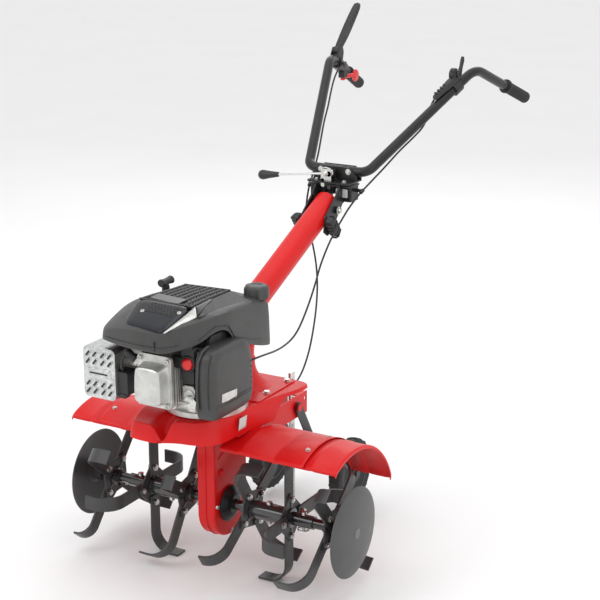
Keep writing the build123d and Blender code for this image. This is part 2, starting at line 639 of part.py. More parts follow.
with BuildPart() as crankcase:
    round_bar(level(0, 0, BASE_Y), BASE_R, DECK_Z, ENGINE_Z)
    round_bar(level(0, 0, BASE_Y), 69, ENGINE_Z, 590)
    box((-50, -138, ENGINE_Z), (50, BASE_Y, 590))
    box((-BASE_R, 12, DECK_Z), (BASE_R, 60, ENGINE_Z), mode=Mode.SUBTRACT)
    round_bar(level(0, 0, CRANK_Y), CRANK_R + RUN, DECK_Z - 1, 600, Mode.SUBTRACT)
    bolt_holes([level(ENGINE_Z, x, y) for x, y in ENGINE_BOLTS], 4.1, 14)
save(crankcase.part, "crankcase")

with BuildPart() as crankshaft:
    round_bar(level(0, 0, CRANK_Y), CRANK_R, BELT_Z - 11, FLYWHEEL_Z + 34)
save(crankshaft.part, "crankshaft")

with BuildPart() as flywheel:
    rotor = level(FLYWHEEL_Z, 0, CRANK_Y)
    tube(rotor, 80, CRANK_R, 0, 8)
    tube(rotor, 80, 72, 8, 24)
    for i in range(16):                                # cooling fins of the fan
        turn = radians(360 / 16 * i)
        fin = Plane(origin=(0, CRANK_Y, FLYWHEEL_Z + 7), x_dir=(cos(turn), sin(turn), 0))
        prism(fin, rectangle((40, -1.2), (73, 1.2)), 0, 17)
save(flywheel.part, "flywheel")

PLUG = facing((-46, -243, 588), (-1, -0.25, 0.75))     # seat of the spark plug
with BuildPart() as cylinder_head:
    box((COVER_X - 36, -258, HEAD_Z - 48), (COVER_X + 36, -138, HEAD_Z + 48))
    for i in range(12):
        y = -250 + 8.6 * i
        low, high = (COVER_X - 52, HEAD_Z - 58), (COVER_X + 52, HEAD_Z + 40)
        prism(frontal(y), rectangle(low, high), 0, 3, 8)
    round_bar(PLUG, 6, -13, 20, Mode.SUBTRACT)
save(cylinder_head.part, "cylinder_head")

with BuildPart() as valve_cover:
    front = frontal(-258)
    prism(front, rectangle((COVER_X - 44, 499), (COVER_X + 44, 621)), 0, 8, 9)
    with BuildSketch(front.offset(8)) as body:
        Polygon(*rectangle((COVER_X - 37, 506), (COVER_X + 37, 606)), align=None)
        fillet(body.vertices(), 14)
    extrude(body.sketch, amount=33, taper=6)
    fillet(valve_cover.faces().sort_by(Axis.Y)[0].edges(), 6)
    for x in (COVER_X - 36, COVER_X + 36):
        for z in (507, 613):
            round_bar(frontal(-258, x, z), 5.5, 0, 10)
save(valve_cover.part, "valve_cover")

MUFFLER_LOW, MUFFLER_HIGH = (-186, -246, 499), (-110, -134, 602)
with BuildPart() as muffler:
    box(MUFFLER_LOW, MUFFLER_HIGH, 16)
    box((-111, -226, 512), (COVER_X - 52, -190, 556))
save(muffler.part, "muffler")

with BuildPart() as muffler_guard:
    front = frontal(-260)
    with BuildSketch(front) as plate:
        Polygon(*rectangle((-195, 492), (-104, 614)), align=None)
        fillet(plate.vertices(), 10)
        for x in (-180, -162, -138, -120):             # slanting vents in rows
            for z in (506, 524, 582, 600):
                with Locations((x, z)):
                    SlotOverall(15, 5, rotation=50, mode=Mode.SUBTRACT)
    extrude(plate.sketch, amount=2)
    prism(frontal(-260), rectangle((-195, 612), (-104, 614)), -108, 0)
    prism(frontal(-260), rectangle((-195, 500), (-193, 614)), -108, 0)
save(muffler_guard.part, "muffler_guard")

with BuildPart() as spark_plug:
    round_bar(PLUG, 6, -12, 30)
    round_bar(PLUG, 10.5, 6, 13)
    round_bar(PLUG, 9.5, 18, 44)
save(spark_plug.part, "spark_plug")

with BuildPart() as carburettor:
    box((60, -236, 505), (93, -196, 556), 8)
    round_bar(frontal(-196, 76, 530), 15, -24, 52)
    round_bar(level(488, 76, -216), 13, 0, 18)
    box((60, -190, 522), (70, -150, 540))
save(carburettor.part, "carburettor")

with BuildPart() as primer_housing:
    panel = frontal(-226)
    prism(panel, rectangle((61, 560), (93, 643)), 0, 12, 8)
    round_bar(frontal(-226, 78, 606), 17, 0, 17)
    round_bar(frontal(-226, 78, 606), 14.3, 3, 20, Mode.SUBTRACT)
save(primer_housing.part, "primer_housing")

with BuildPart() as primer_bulb:
    round_bar(frontal(-226, 78, 606), 14, 10, 25)
    fillet(primer_bulb.faces().sort_by(Axis.Y)[0].edges(), 9)
save(primer_bulb.part, "primer_bulb")

with BuildPart() as air_filter_cover:
    box((96, -236, 472), (142, -64, 642), 12)
    fillet(air_filter_cover.faces().sort_by(Axis.Z)[-1].edges(), 9)
save(air_filter_cover.part, "air_filter_cover")

SHROUD_LINE = [(-150, -252), (-66, -272), (62, -270), (120, -200), (120, 23), (-112, 23), (-150, -30)]
with BuildPart() as blower_shroud:
    with BuildSketch(level(SHROUD_LOW)) as plan:
        Polygon(*SHROUD_LINE, align=None)
        fillet(plan.vertices(), 14)
    extrude(plan.sketch, amount=SHROUD_HIGH - SHROUD_LOW, taper=12)
    box((-200, -300, SHROUD_LOW - 1), (200, -236, 632), mode=Mode.SUBTRACT)
    box((-200, -300, SHROUD_LOW - 1), (-96, 100, 630), mode=Mode.SUBTRACT)
    box((86, -300, SHROUD_LOW - 1), (200, -60, 646), mode=Mode.SUBTRACT)
    box((-60, -300, SHROUD_LOW - 1), (86, -130, 650), mode=Mode.SUBTRACT)
    round_bar(level(0, 0, CRANK_Y), 83, SHROUD_LOW - 1, 648, Mode.SUBTRACT)
save(blower_shroud.part, "blower_shroud")

GRILLE_LINE = [(-74, -236), (70, -236), (96, -180), (94, 0), (-86, 0), (-118, -150)]
with BuildPart() as top_grille:
    with BuildSketch(level(SHROUD_HIGH)) as plan:
        Polygon(*GRILLE_LINE, align=None)
        fillet(plan.vertices(), 14)
    extrude(plan.sketch, amount=GRILLE_HIGH - SHROUD_HIGH, taper=35)
    for i in range(9):                                 # air slots
        x = -56 + 14 * i
        box((x, -170, GRILLE_HIGH - 6), (x + 6, -30, GRILLE_HIGH + 1), mode=Mode.SUBTRACT)
save(top_grille.part, "top_grille")

CAP_X, CAP_Y = 80.0, 46.0
with BuildPart() as fuel_tank:
    box((-60, 24, 566), (116, 66, 674), 14)
    round_bar(level(674, CAP_X, CAP_Y), 19, -2, 14)
save(fuel_tank.part, "fuel_tank")

with BuildPart() as fuel_cap:
    lid = level(0, CAP_X, CAP_Y)
    round_bar(lid, 27, 684, 715)
    fillet(fuel_cap.faces().sort_by(Axis.Z)[-1].edges(), 4)
    round_bar(lid, 19.4, 683, 690, Mode.SUBTRACT)
    for i in range(8):                                 # finger lobes
        turn = radians(45 * i)
        lobe = level(684, CAP_X + 26 * cos(turn), CAP_Y + 26 * sin(turn))
        round_bar(lobe, 4.5, 0, 26)
save(fuel_cap.part, "fuel_cap")

PULL_X, PULL_Y = -128.0, -30.0
with BuildPart() as starter_rope:
    round_bar(level(0, PULL_X, PULL_Y), 1.8, 692, 708)
save(starter_rope.part, "starter_rope")

with BuildPart() as starter_handle:
    round_bar(level(0, PULL_X, PULL_Y), 8, 708, 720)
    prism(frontal(PULL_Y, PULL_X), rectangle((-9, 716), (9, 732)), -30, 30, 5)
save(starter_handle.part, "starter_handle")

# ---- head and handlebar -------------------------------------------------------------------
CHEEK_IN, CHEEK_OUT = 32.5, 36.5
HEAD_TOP = 848.0
LOCK_Z = 876.0                           # pivot of the swivel lock lever, on the saddle
BAR_Y, BAR_Z = 584.0, 879.0              # cross run of the handlebar
CHEEK = [(449, 744), (468, 731), (500, 752), (545, 800), (592, 816), (592, HEAD_TOP),
         (530, HEAD_TOP), (505, 822), (455, 782)]
SLOT_R = sqrt((TILT_Y - CLAMP_Y) ** 2 + (TILT_Z - CLAMP_Z) ** 2)
TILT_RANGE = 12.0

with BuildPart() as head_bracket:
    for side in SIDES:
        plate = across(side * CHEEK_IN)
        prism(plate, CHEEK, 0, side * (CHEEK_OUT - CHEEK_IN), 5)
        low, high = sorted((side * 14, side * 60))
        box((low, 545, 806), (high, 590, HEAD_TOP), 5)
    box((-60, 538, HEAD_TOP - 4), (60, 596, HEAD_TOP), 5)
    box((-CHEEK_IN, 536, 800), (CHEEK_IN, 548, 806), mode=Mode.SUBTRACT)
    round_bar(across(0, TILT_Y, TILT_Z), 6, -46, 46)   # tilt bolt with its heads
    for side in SIDES:
        round_bar(facing((0, TILT_Y, TILT_Z), (side, 0, 0)), 9, CHEEK_OUT, CHEEK_OUT + 6)
    round_bar(level(0, 0, SWIVEL_Y), 8 + RUN, 790, 860, Mode.SUBTRACT)
    for upper in (THROTTLE_UPPER, CLUTCH_UPPER):       # stops that the cables pass at the head
        cable_stop(upper[-1], upper[-2], CABLE_R + 2.5)
        side = 1 if upper[-1][0] > 0 else -1
        low, high = sorted((side * 56, side * 74))
        box((low, 567, 830), (high, 574, 838))
    middle = radians(180 + 38.83)                      # arc slots that the clamp bolt slides in
    for i in range(-7, 8):
        turn = middle + radians(TILT_RANGE + 1) * i / 7
        spot = across(0, TILT_Y + SLOT_R * cos(turn), TILT_Z + SLOT_R * sin(turn))
        round_bar(spot, 5.3, -50, 50, Mode.SUBTRACT)
save(head_bracket.part, "head_bracket")

KNOB_R = 21.0
with BuildPart() as clamp_knobs:
    round_bar(across(0, CLAMP_Y, CLAMP_Z), 5, -44, 44)
    for side in SIDES:
        knob = facing((0, CLAMP_Y, CLAMP_Z), (side, 0, 0), (0, 0.6, -0.8))
        prism(knob, rectangle((-30, -14), (30, 14)), CHEEK_OUT + 1, CHEEK_OUT + 25, 7)
        for i in range(6):                             # grip ridges
            at = -25 + 10 * i
            prism(knob, rectangle((at - 2, -15.5), (at + 2, 15.5)), CHEEK_OUT + 5, CHEEK_OUT + 26.5)
save(clamp_knobs.part, "clamp_knobs")

with BuildPart() as swivel_saddle:
    post = level(0, 0, SWIVEL_Y)
    prism(level(SADDLE_Z), rectangle((-62, 528), (62, 600)), 0, 4, 8)
    wing = [(-62, SADDLE_Z), (62, SADDLE_Z), (62, BAR_Z - 8), (46, BAR_Z + 12), (-46, BAR_Z + 12),
            (-62, BAR_Z - 8)]
    prism(frontal(BAR_Y + BAR_R + 4), wing, 0, 4)
    prism(frontal(BAR_Y - BAR_R), wing, 0, 3)
    for x in (-40, 40):
        box((x - 14, BAR_Y - BAR_R, SADDLE_Z), (x + 14, BAR_Y + BAR_R, BAR_Z - 6))
    round_bar(across(0, BAR_Y, BAR_Z), BAR_R, -70, 70, Mode.SUBTRACT)
    round_bar(post, 8, 822, SADDLE_Z + 1)              # swivel bolt
    round_bar(post, 13, 822, 829)
    round_bar(post, 13, SADDLE_Z + 4, SADDLE_Z + 9)
    box((-9, 550, SADDLE_Z + 3), (9, 558, LOCK_Z + 9))  # lug and pin of the lock lever
    round_bar(frontal(550, 0, LOCK_Z), 4, 0, 14)
    round_bar(frontal(539, 0, LOCK_Z), 7, 0, 3)
save(swivel_saddle.part, "swivel_saddle")

BAR_LINE = [(-264, 1198, 1001), (-221, 945, 1111), (-86, BAR_Y, BAR_Z), (86, BAR_Y, BAR_Z),
            (221, 945, 1111), (264, 1198, 1001)]
with BuildPart() as handlebar:
    bent_tube(BAR_LINE, [70, 32, 32, 70], BAR_R, BAR_R - 2)
save(handlebar.part, "handlebar")

with BuildPart() as hand_grips:
    for side in SIDES:
        end = Vector(side * 264, 1198, 1001)
        along = (end - Vector(side * 221, 945, 1111)).normalized()
        tube(facing(end, along), 16.5, BAR_R, -112, 0)
        round_bar(facing(end, along), 16.5, 0, 4)
        tube(facing(end, along), 20, BAR_R, -112, -107)
save(hand_grips.part, "hand_grips")


def grip_point(side, back):
    """Point on a grip run of the handlebar, so far before its end, and the run's direction."""
    end, bend = Vector(side * 264, 1198, 1001), Vector(side * 221, 945, 1111)
    along = (end - bend).normalized()
    return end - along * back, along


LEVER_Y, LEVER_Z = 1003.0, 1122.0        # clutch lever pivot, beside the bar
LEVER_X = -231.0
ARM_DIR = (Vector(221, 945, 1111) - Vector(86, BAR_Y, BAR_Z)).normalized()
with BuildPart() as lever_brackets:
    spot, along = grip_point(-1, 211)
    ring = facing(spot, along)
    tube(ring, 18, BAR_R, -16, 16)
    with BuildSketch(across(LEVER_X - 9)) as ears:
        with Locations((LEVER_Y, LEVER_Z), (spot.Y, spot.Z + 10)):
            Circle(11)
        make_hull(ears.edges())
        with Locations((LEVER_Y, LEVER_Z)):
            Circle(5 + RUN, mode=Mode.SUBTRACT)
    for start in (0, 14.5):
        extrude(ears.sketch.moved(Location((start, 0, 0))), amount=3.5)
    tube(facing(spot, along), 18, BAR_R, 18, 52)       # housing of the safety button
    box((spot.X - 9, spot.Y + 22, spot.Z - 44), (spot.X + 9, spot.Y + 42, spot.Z - 18))
    round_bar(ring, BAR_R, -20, 60, Mode.SUBTRACT)
    round_bar(level(0, spot.X, spot.Y + 32), 7.3, spot.Z - 50, spot.Z - 30, Mode.SUBTRACT)
    seat = Vector(86, BAR_Y, BAR_Z) + ARM_DIR * 366
    tube(facing(seat, ARM_DIR), 18, BAR_R, -13, 13)
    box((seat.X - 10, seat.Y - 16, seat.Z + 8), (seat.X + 6, seat.Y + 12, seat.Z + 46), 4)
    round_bar(facing(seat, ARM_DIR), BAR_R, -40, 40, Mode.SUBTRACT)
    round_bar(across(seat.X + 5, seat.Y, seat.Z + 36), 4, 0, 9)
    cable_stop(THROTTLE_UPPER[0], THROTTLE_UPPER[1], CABLE_R + 2.5)
    cable_stop(CLUTCH_UPPER[0], CLUTCH_UPPER[1], CABLE_R + 2.5)
    box((spot.X + 15, spot.Y - 8, spot.Z - 6), (spot.X + 25, spot.Y + 8, spot.Z + 6))
save(lever_brackets.part, "lever_brackets")

with BuildPart() as clutch_lever:
    pivot = Vector(LEVER_X, LEVER_Y, LEVER_Z)
    round_bar(across(0, LEVER_Y, LEVER_Z), 5, LEVER_X - 9.2, LEVER_X + 9.2)
    round_bar(across(0, LEVER_Y, LEVER_Z), 10, LEVER_X - 5, LEVER_X + 5)
    rise = radians(44)
    blade = Plane(origin=pivot, x_dir=(0, cos(rise), sin(rise)), z_dir=(1, 0, 0))
    prism(blade, [(-4, -8), (60, -13), (168, -9), (178, 0), (168, 9), (60, 11), (-4, 8)], -5, 5)
save(clutch_lever.part, "clutch_lever")

with BuildPart() as safety_button:
    cap = level(0, spot.X, spot.Y + 32)
    round_bar(cap, 7.2, spot.Z - 52, spot.Z - 36)
save(safety_button.part, "safety_button")

with BuildPart() as throttle_lever:
    hub = across(seat.X + 6.3, seat.Y, seat.Z + 36)
    tube(hub, 12, 4 + RUN, 0, 6)
    prism(hub, [(-5, 6), (12, 44), (24, 40), (8, 2)], 0, 6, 2)
save(throttle_lever.part, "throttle_lever")

with BuildPart() as lock_lever:
    hub = Vector(0, 544.5, LOCK_Z)
    tube(facing(hub, (0, -1, 0)), 10, 4 + RUN, -5, 5)
    knob_end = Vector(-204, 550, 850)
    rod = facing(hub, knob_end - hub)
    reach = (knob_end - hub).length
    round_bar(rod, 4, 8, reach)
    round_bar(rod, 9, reach - 34, reach)
    round_bar(rod, 13, reach - 12, reach + 14)
save(lock_lever.part, "lock_lever")

# ---- cables and fasteners -----------------------------------------------------------------
for name, routes in (("upper_cables", (THROTTLE_UPPER, CLUTCH_UPPER)),
                     ("lower_cables", (THROTTLE_LOWER, CLUTCH_LOWER))):
    with BuildPart() as cables:
        for route in routes:
            radii = cord_radii(route)
            length = bent_tube(route, radii, CABLE_R)
            print(name, "length", round(length), "radii", [round(r) for r in radii])
    print(name, "volume", round(cables.part.volume))
    save(cables.part, name)

with BuildPart() as flange_bolts:
    for x, y in FOOT_BOLTS:
        hex_bolt(level(DECK_Z + FOOT_PLATE, x, y), FOOT_PLATE + SHEET)
    for x, y in ENGINE_BOLTS:
        hex_bolt(level(ENGINE_Z, x, y), ENGINE_Z - DECK_Z + SHEET)
    for x, y in FENDER_MOUNTS:
        hex_bolt(level(SKIRT_Z + SHEET, x, y), 2 * SHEET + 0.9)
    for x, z in BRACKET_BOLTS:
        hex_bolt(facing((x, LEG_REAR + 3, z), (0, 1, 0)), 3 + LEG_WALL)
    for y, z in CASE_BOLTS:
        hex_bolt(across(LEG_HALF, y, z), 2 * LEG_HALF, 6.0)
    for side in SIDES:
        for plane in fender_bolt_planes(side):
            hex_bolt(plane, 2 * SHEET + 0.3, 6.0)
save(flange_bolts.part, "flange_bolts")
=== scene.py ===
"""Rotary tiller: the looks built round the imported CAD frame.

Metres, +Z up, -Y is the travel direction, +X the air filter's side, which is the machine's left.
Shapes are written in mm and scaled.
"""
import math

import bmesh
import bpy
from mathutils import Matrix, Vector


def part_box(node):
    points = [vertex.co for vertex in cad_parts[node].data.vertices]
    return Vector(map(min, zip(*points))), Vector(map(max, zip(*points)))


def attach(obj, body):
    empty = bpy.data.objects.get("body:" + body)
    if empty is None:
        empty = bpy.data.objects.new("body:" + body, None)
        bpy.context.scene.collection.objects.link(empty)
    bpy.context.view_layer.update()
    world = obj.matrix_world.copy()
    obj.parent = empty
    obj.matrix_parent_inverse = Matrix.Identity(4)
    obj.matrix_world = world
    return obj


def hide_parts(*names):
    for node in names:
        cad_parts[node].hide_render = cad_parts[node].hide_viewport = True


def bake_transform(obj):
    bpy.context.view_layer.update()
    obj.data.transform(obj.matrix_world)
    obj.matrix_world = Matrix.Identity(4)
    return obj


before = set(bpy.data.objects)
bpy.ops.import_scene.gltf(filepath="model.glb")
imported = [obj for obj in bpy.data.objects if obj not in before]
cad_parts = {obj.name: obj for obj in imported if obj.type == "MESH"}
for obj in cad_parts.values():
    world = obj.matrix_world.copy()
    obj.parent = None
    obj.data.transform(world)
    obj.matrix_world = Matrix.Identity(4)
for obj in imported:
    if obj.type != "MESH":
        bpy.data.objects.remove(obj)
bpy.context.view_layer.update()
MM = 0.001
SCENE = bpy.context.scene
FRONT, BACK, LEFT, UP = (0, -1, 0), (0, 1, 0), (1, 0, 0), (0, 0, 1)


# ---------- camera, light and floor
# the camera stands at the photograph's viewing angle
cam_data = bpy.data.cameras.new("camera")
cam_data.lens = 94.716
cam_data.sensor_width = 36
camera = bpy.data.objects.new("camera", cam_data)
SCENE.collection.objects.link(camera)
SCENE.camera = camera
forward = Vector((-0.476633, 0.830106, -0.289388))
camera.location = (1.91776, -2.95198, 1.74091)
camera.rotation_mode = "QUATERNION"
camera.rotation_quaternion = forward.to_track_quat("-Z", "Y")
cam_data.clip_end = 200


def area_light(name, place, target, size, power):
    """A soft rectangular lamp that points at target."""
    data = bpy.data.lights.new(name, "AREA")
    data.shape = "RECTANGLE"
    data.size, data.size_y = size
    data.energy = power
    lamp = bpy.data.objects.new(name, data)
    lamp.location = place
    aim = Vector(target) - Vector(place)
    lamp.rotation_mode = "QUATERNION"
    lamp.rotation_quaternion = aim.to_track_quat("-Z", "Y")
    SCENE.collection.objects.link(lamp)


area_light("key", (-1.6, -2.6, 3.2), (0, 0.2, 0.4), (2.2, 2.2), 34)
area_light("fill", (3.2, -1.0, 1.9), (0, 0.2, 0.5), (2.0, 2.4), 15)
area_light("overhead", (0, 0.4, 3.6), (0, 0.4, 0), (3.2, 3.2), 22)
area_light("back", (-1.2, 3.6, 2.4), (0, 0.4, 0.5), (2.4, 1.8), 16)

world = bpy.data.worlds.new("studio")
SCENE.world = world
world.use_nodes = True
background = world.node_tree.nodes["Background"]
background.inputs["Color"].default_value = (1, 1, 1, 1)
background.inputs["Strength"].default_value = 0.92
SCENE.view_settings.view_transform = "Standard"


# ---------- materials
def finish_of(name, colour, rough, mottle, grain, grain_scale, metallic=0.0, coat=0.0,
              mottle_scale=14.0, rough_spread=0.08, wear=None, wear_amount=0.0, brushed=None,
              specular=0.5):
    """A node material in object coordinates: mottled colour, uneven gloss, grain, worn edges."""
    mat = bpy.data.materials.new(name)
    mat.use_nodes = True
    tree = mat.node_tree
    bsdf = tree.nodes["Principled BSDF"]
    bsdf.inputs["Metallic"].default_value = metallic
    bsdf.inputs["Coat Weight"].default_value = coat
    bsdf.inputs["Coat Roughness"].default_value = 0.06
    bsdf.inputs["Specular IOR Level"].default_value = specular
    mat.diffuse_color = (*colour, 1)

    def node(kind, **values):
        made = tree.nodes.new(kind)
        for key, value in values.items():
            made.inputs[key].default_value = value
        return made

    where = fine_where = tree.nodes.new("ShaderNodeTexCoord").outputs["Object"]
    if brushed:
        stretch = node("ShaderNodeMapping")
        stretch.inputs["Scale"].default_value = brushed
        tree.links.new(where, stretch.inputs["Vector"])
        fine_where = stretch.outputs["Vector"]
    cloud = node("ShaderNodeTexNoise", Scale=mottle_scale, Detail=5.0, Roughness=0.6)
    tree.links.new(where, cloud.inputs["Vector"])
    tint = node("ShaderNodeValToRGB")
    dark = [c * (1 - mottle) for c in colour]
    light = [min(1.0, c * (1 + mottle) + mottle * 0.02) for c in colour]
    tint.color_ramp.elements[0].position = 0.32
    tint.color_ramp.elements[0].color = (*dark, 1)
    tint.color_ramp.elements[1].position = 0.68
    tint.color_ramp.elements[1].color = (*light, 1)
    tree.links.new(cloud.outputs["Fac"], tint.inputs["Fac"])
    colour_out = tint.outputs["Color"]
    if wear:
        edge = tree.nodes.new("ShaderNodeNewGeometry").outputs["Pointiness"]
        sharp = node("ShaderNodeMapRange", **{"From Min": 0.53, "From Max": 0.62, "To Min": 0.0,
            "To Max": wear_amount})
        tree.links.new(edge, sharp.inputs["Value"])
        mix = tree.nodes.new("ShaderNodeMix")
        mix.data_type = "RGBA"
        mix.inputs["B"].default_value = (*wear, 1)
        tree.links.new(sharp.outputs["Result"], mix.inputs["Factor"])
        tree.links.new(colour_out, mix.inputs["A"])
        colour_out = mix.outputs["Result"]
    tree.links.new(colour_out, bsdf.inputs["Base Color"])

    fine = node("ShaderNodeTexNoise", Scale=grain_scale, Detail=3.0, Roughness=0.55)
    tree.links.new(fine_where, fine.inputs["Vector"])
    gloss = node("ShaderNodeMapRange", **{"To Min": max(0.02, rough - rough_spread),
        "To Max": min(1.0, rough + rough_spread)})
    streak = node("ShaderNodeTexNoise", Scale=mottle_scale * 3.1, Detail=4.0)
    tree.links.new(fine_where, streak.inputs["Vector"])
    tree.links.new(streak.outputs["Fac"], gloss.inputs["Value"])
    tree.links.new(gloss.outputs["Result"], bsdf.inputs["Roughness"])
    bump = node("ShaderNodeBump", Strength=grain, Distance=0.0006)
    tree.links.new(fine.outputs["Fac"], bump.inputs["Height"])
    tree.links.new(bump.outputs["Normal"], bsdf.inputs["Normal"])
    return mat


# colour, roughness, mottle, grain, grain scale, then what differs from the usual
LOOKS = {
    "red_paint": ((0.66, 0.004, 0.005), 0.42, 0.035, 0.03, 160,
                  dict(coat=0.10, mottle_scale=6, rough_spread=0.05, specular=0.30)),
    "black_paint": ((0.010, 0.010, 0.011), 0.36, 0.2, 0.04, 260,
                    dict(coat=0.10, specular=0.35, wear=(0.06, 0.06, 0.06), wear_amount=0.3)),
    "gloss_black_paint": ((0.010, 0.010, 0.011), 0.16, 0.15, 0.03, 300,
                          dict(coat=0.8, wear=(0.09, 0.09, 0.09), wear_amount=0.4)),
    "tine_black": ((0.016, 0.016, 0.017), 0.36, 0.25, 0.10, 300,
                   dict(mottle_scale=24, specular=0.4, wear=(0.10, 0.10, 0.10),
                        wear_amount=0.35)),
    "disc_grey": ((0.050, 0.050, 0.052), 0.42, 0.10, 0.05, 240,
                  dict(mottle_scale=9, coat=0.1, wear=(0.16, 0.16, 0.16), wear_amount=0.4)),
    "zinc_steel": ((0.62, 0.62, 0.60), 0.28, 0.14, 0.10, 800,
                   dict(metallic=1.0, mottle_scale=60)),
    "machined_steel": ((0.52, 0.52, 0.53), 0.24, 0.08, 0.12, 60,
                       dict(metallic=1.0, brushed=(1, 1, 40))),
    "galvanised_sheet": ((0.60, 0.61, 0.61), 0.30, 0.22, 0.12, 300,
                         dict(metallic=0.95, mottle_scale=90)),
    "bronze": ((0.52, 0.30, 0.12), 0.34, 0.15, 0.1, 300, dict(metallic=1.0)),
    "cast_iron": ((0.10, 0.10, 0.10), 0.62, 0.25, 0.6, 500,
                  dict(metallic=0.5, mottle_scale=50)),
    "cast_aluminium": ((0.60, 0.60, 0.58), 0.40, 0.12, 0.45, 650,
                       dict(metallic=0.85, mottle_scale=45)),
    "grey_plastic": ((0.044, 0.044, 0.043), 0.42, 0.08, 0.40, 1500, dict(mottle_scale=22)),
    "black_plastic": ((0.016, 0.016, 0.017), 0.42, 0.15, 0.30, 1300, dict(mottle_scale=20)),
    "red_plastic": ((0.70, 0.012, 0.012), 0.34, 0.05, 0.12, 1200, dict(coat=0.2)),
    "belt_rubber": ((0.014, 0.014, 0.014), 0.75, 0.2, 0.5, 900, {}),
    "grip_rubber": ((0.020, 0.020, 0.021), 0.66, 0.18, 0.5, 1400, {}),
    "red_rubber": ((0.62, 0.014, 0.014), 0.32, 0.06, 0.10, 900, dict(coat=0.15)),
    "tyre_rubber": ((0.018, 0.018, 0.018), 0.72, 0.25, 0.55, 900, dict(mottle_scale=25)),
    "cable_jacket": ((0.012, 0.012, 0.012), 0.36, 0.15, 0.10, 1500, {}),
    "chrome_rod": ((0.72, 0.72, 0.72), 0.10, 0.04, 0.02, 300, dict(metallic=1.0)),
    "floor": ((0.90, 0.90, 0.90), 0.85, 0.01, 0.02, 200, dict(mottle_scale=2, specular=0.2)),
    "visor": ((0.003, 0.004, 0.009), 0.10, 0.1, 0.02, 200, dict(coat=0.25, specular=0.25)),
    "blank_sticker": ((0.62, 0.62, 0.60), 0.42, 0.03, 0.04, 400, {}),
    "mesh_grey": ((0.14, 0.14, 0.142), 0.42, 0.10, 0.2, 1300, {}),
}
FINISH = {name: finish_of(name, *look, **more) for name, (*look, more) in LOOKS.items()}

SLOT_OF = {
    "red_paint": ["gearcase_left", "gearcase_right", "chassis_hood", "inner_fenders",
                  "outer_fenders", "column_foot", "column_tube", "rear_bracket"],
    "black_paint": ["bearing_covers", "handlebar", "head_bracket", "swivel_saddle",
                    "lever_brackets", "wheel_frame", "idler_arm"],
    "gloss_black_paint": ["tine_axle", "inner_hubs", "outer_hubs"],
    "tine_black": ["tines", "tine_flanges"],
    "disc_grey": ["end_discs"],
    "zinc_steel": ["flange_bolts", "tine_bolts", "hitch_pins", "depth_spur", "lock_lever"],
    "machined_steel": ["worm_shaft", "crankshaft", "bearings", "idler_pulley", "drive_pulley"],
    "galvanised_sheet": ["muffler_guard", "muffler"],
    "bronze": ["worm_wheel"],
    "cast_iron": ["flywheel", "driven_pulley"],
    "cast_aluminium": ["crankcase", "cylinder_head", "valve_cover", "carburettor"],
    "grey_plastic": ["blower_shroud", "air_filter_cover", "fuel_cap", "fuel_tank"],
    "black_plastic": ["primer_housing", "top_grille", "clamp_knobs", "clutch_lever",
                      "throttle_lever", "starter_handle", "spark_plug", "wheel_rims"],
    "red_plastic": ["safety_button"],
    "belt_rubber": ["drive_belt"],
    "grip_rubber": ["hand_grips"],
    "red_rubber": ["primer_bulb"],
    "tyre_rubber": ["wheel_tyres"],
    "cable_jacket": ["upper_cables", "lower_cables", "starter_rope"],
}
BEVEL = {"tines": 0.5, "tine_flanges": 0.5, "end_discs": 0.6, "chassis_hood": 1.2,
         "inner_fenders": 0.7, "outer_fenders": 0.7, "blower_shroud": 2.0, "air_filter_cover": 3.0,
         "valve_cover": 2.0, "crankcase": 2.0, "head_bracket": 1.0, "swivel_saddle": 1.2}
CAD_BEVEL = 0.4  # on a CAD node that BEVEL doesn't name


def bevel_edges(made, width, angle):
    """Rounds the edges sharper than angle by width mm."""
    edge = made.modifiers.new("edge", "BEVEL")
    edge.width = width * MM
    edge.segments = 2
    edge.limit_method = "ANGLE"
    edge.angle_limit = math.radians(angle)
    edge.use_clamp_overlap = True
    edge.harden_normals = True


for slot_name, members in SLOT_OF.items():
    for member in members:
        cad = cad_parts[member]
        cad.data.materials.clear()
        cad.data.materials.append(FINISH[slot_name])
        bevel_edges(cad, BEVEL.get(member, CAD_BEVEL), 35)


# ---------- mesh helpers, all in mm
WELD = 0.002  # points closer than this become one
SHARP_ANGLE = 40


def piece(name, bm, finish, body, stands_for=(), bevel=0.0):
    """Closes a bmesh into an object that rides on a body."""
    bmesh.ops.remove_doubles(bm, verts=bm.verts, dist=WELD)
    bmesh.ops.recalc_face_normals(bm, faces=bm.faces)
    bm.transform(Matrix.Scale(MM, 4))
    data = bpy.data.meshes.new(name)
    bm.to_mesh(data)
    bm.free()
    made = bpy.data.objects.new(name, data)
    SCENE.collection.objects.link(made)
    data.materials.append(FINISH[finish])
    for face in data.polygons:
        face.use_smooth = True
    data.set_sharp_from_angle(angle=math.radians(SHARP_ANGLE))
    if bevel:
        bevel_edges(made, bevel, 30)
    if body:
        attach(made, body)
    if stands_for:
        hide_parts(*stands_for)
    return made


def loft(bm, rings, closed=True, cap_first=True, cap_last=True):
    """Skins rings of the same number of points."""
    rows = [[bm.verts.new(p) for p in ring] for ring in rings]
    count = len(rows[0])
    for low, high in zip(rows, rows[1:]):
        for i in range(count if closed else count - 1):
            j = (i + 1) % count
            bm.faces.new((low[i], low[j], high[j], high[i]))
    if closed and cap_first:
        bm.faces.new(list(reversed(rows[0])))
    if closed and cap_last:
        bm.faces.new(rows[-1])
    return rows


def basis(origin, out, up=UP):
    """A frame at origin whose local Z points out and whose local Y is nearest to up."""
    z = Vector(out).normalized()
    y = Vector(up) - Vector(up).dot(z) * z
    y = y.normalized() if y.length > 1e-6 else z.orthogonal().normalized()
    x = y.cross(z)
    place = Matrix((x, y, z)).transposed().to_4x4()
    place.translation = Vector(origin)
    return place


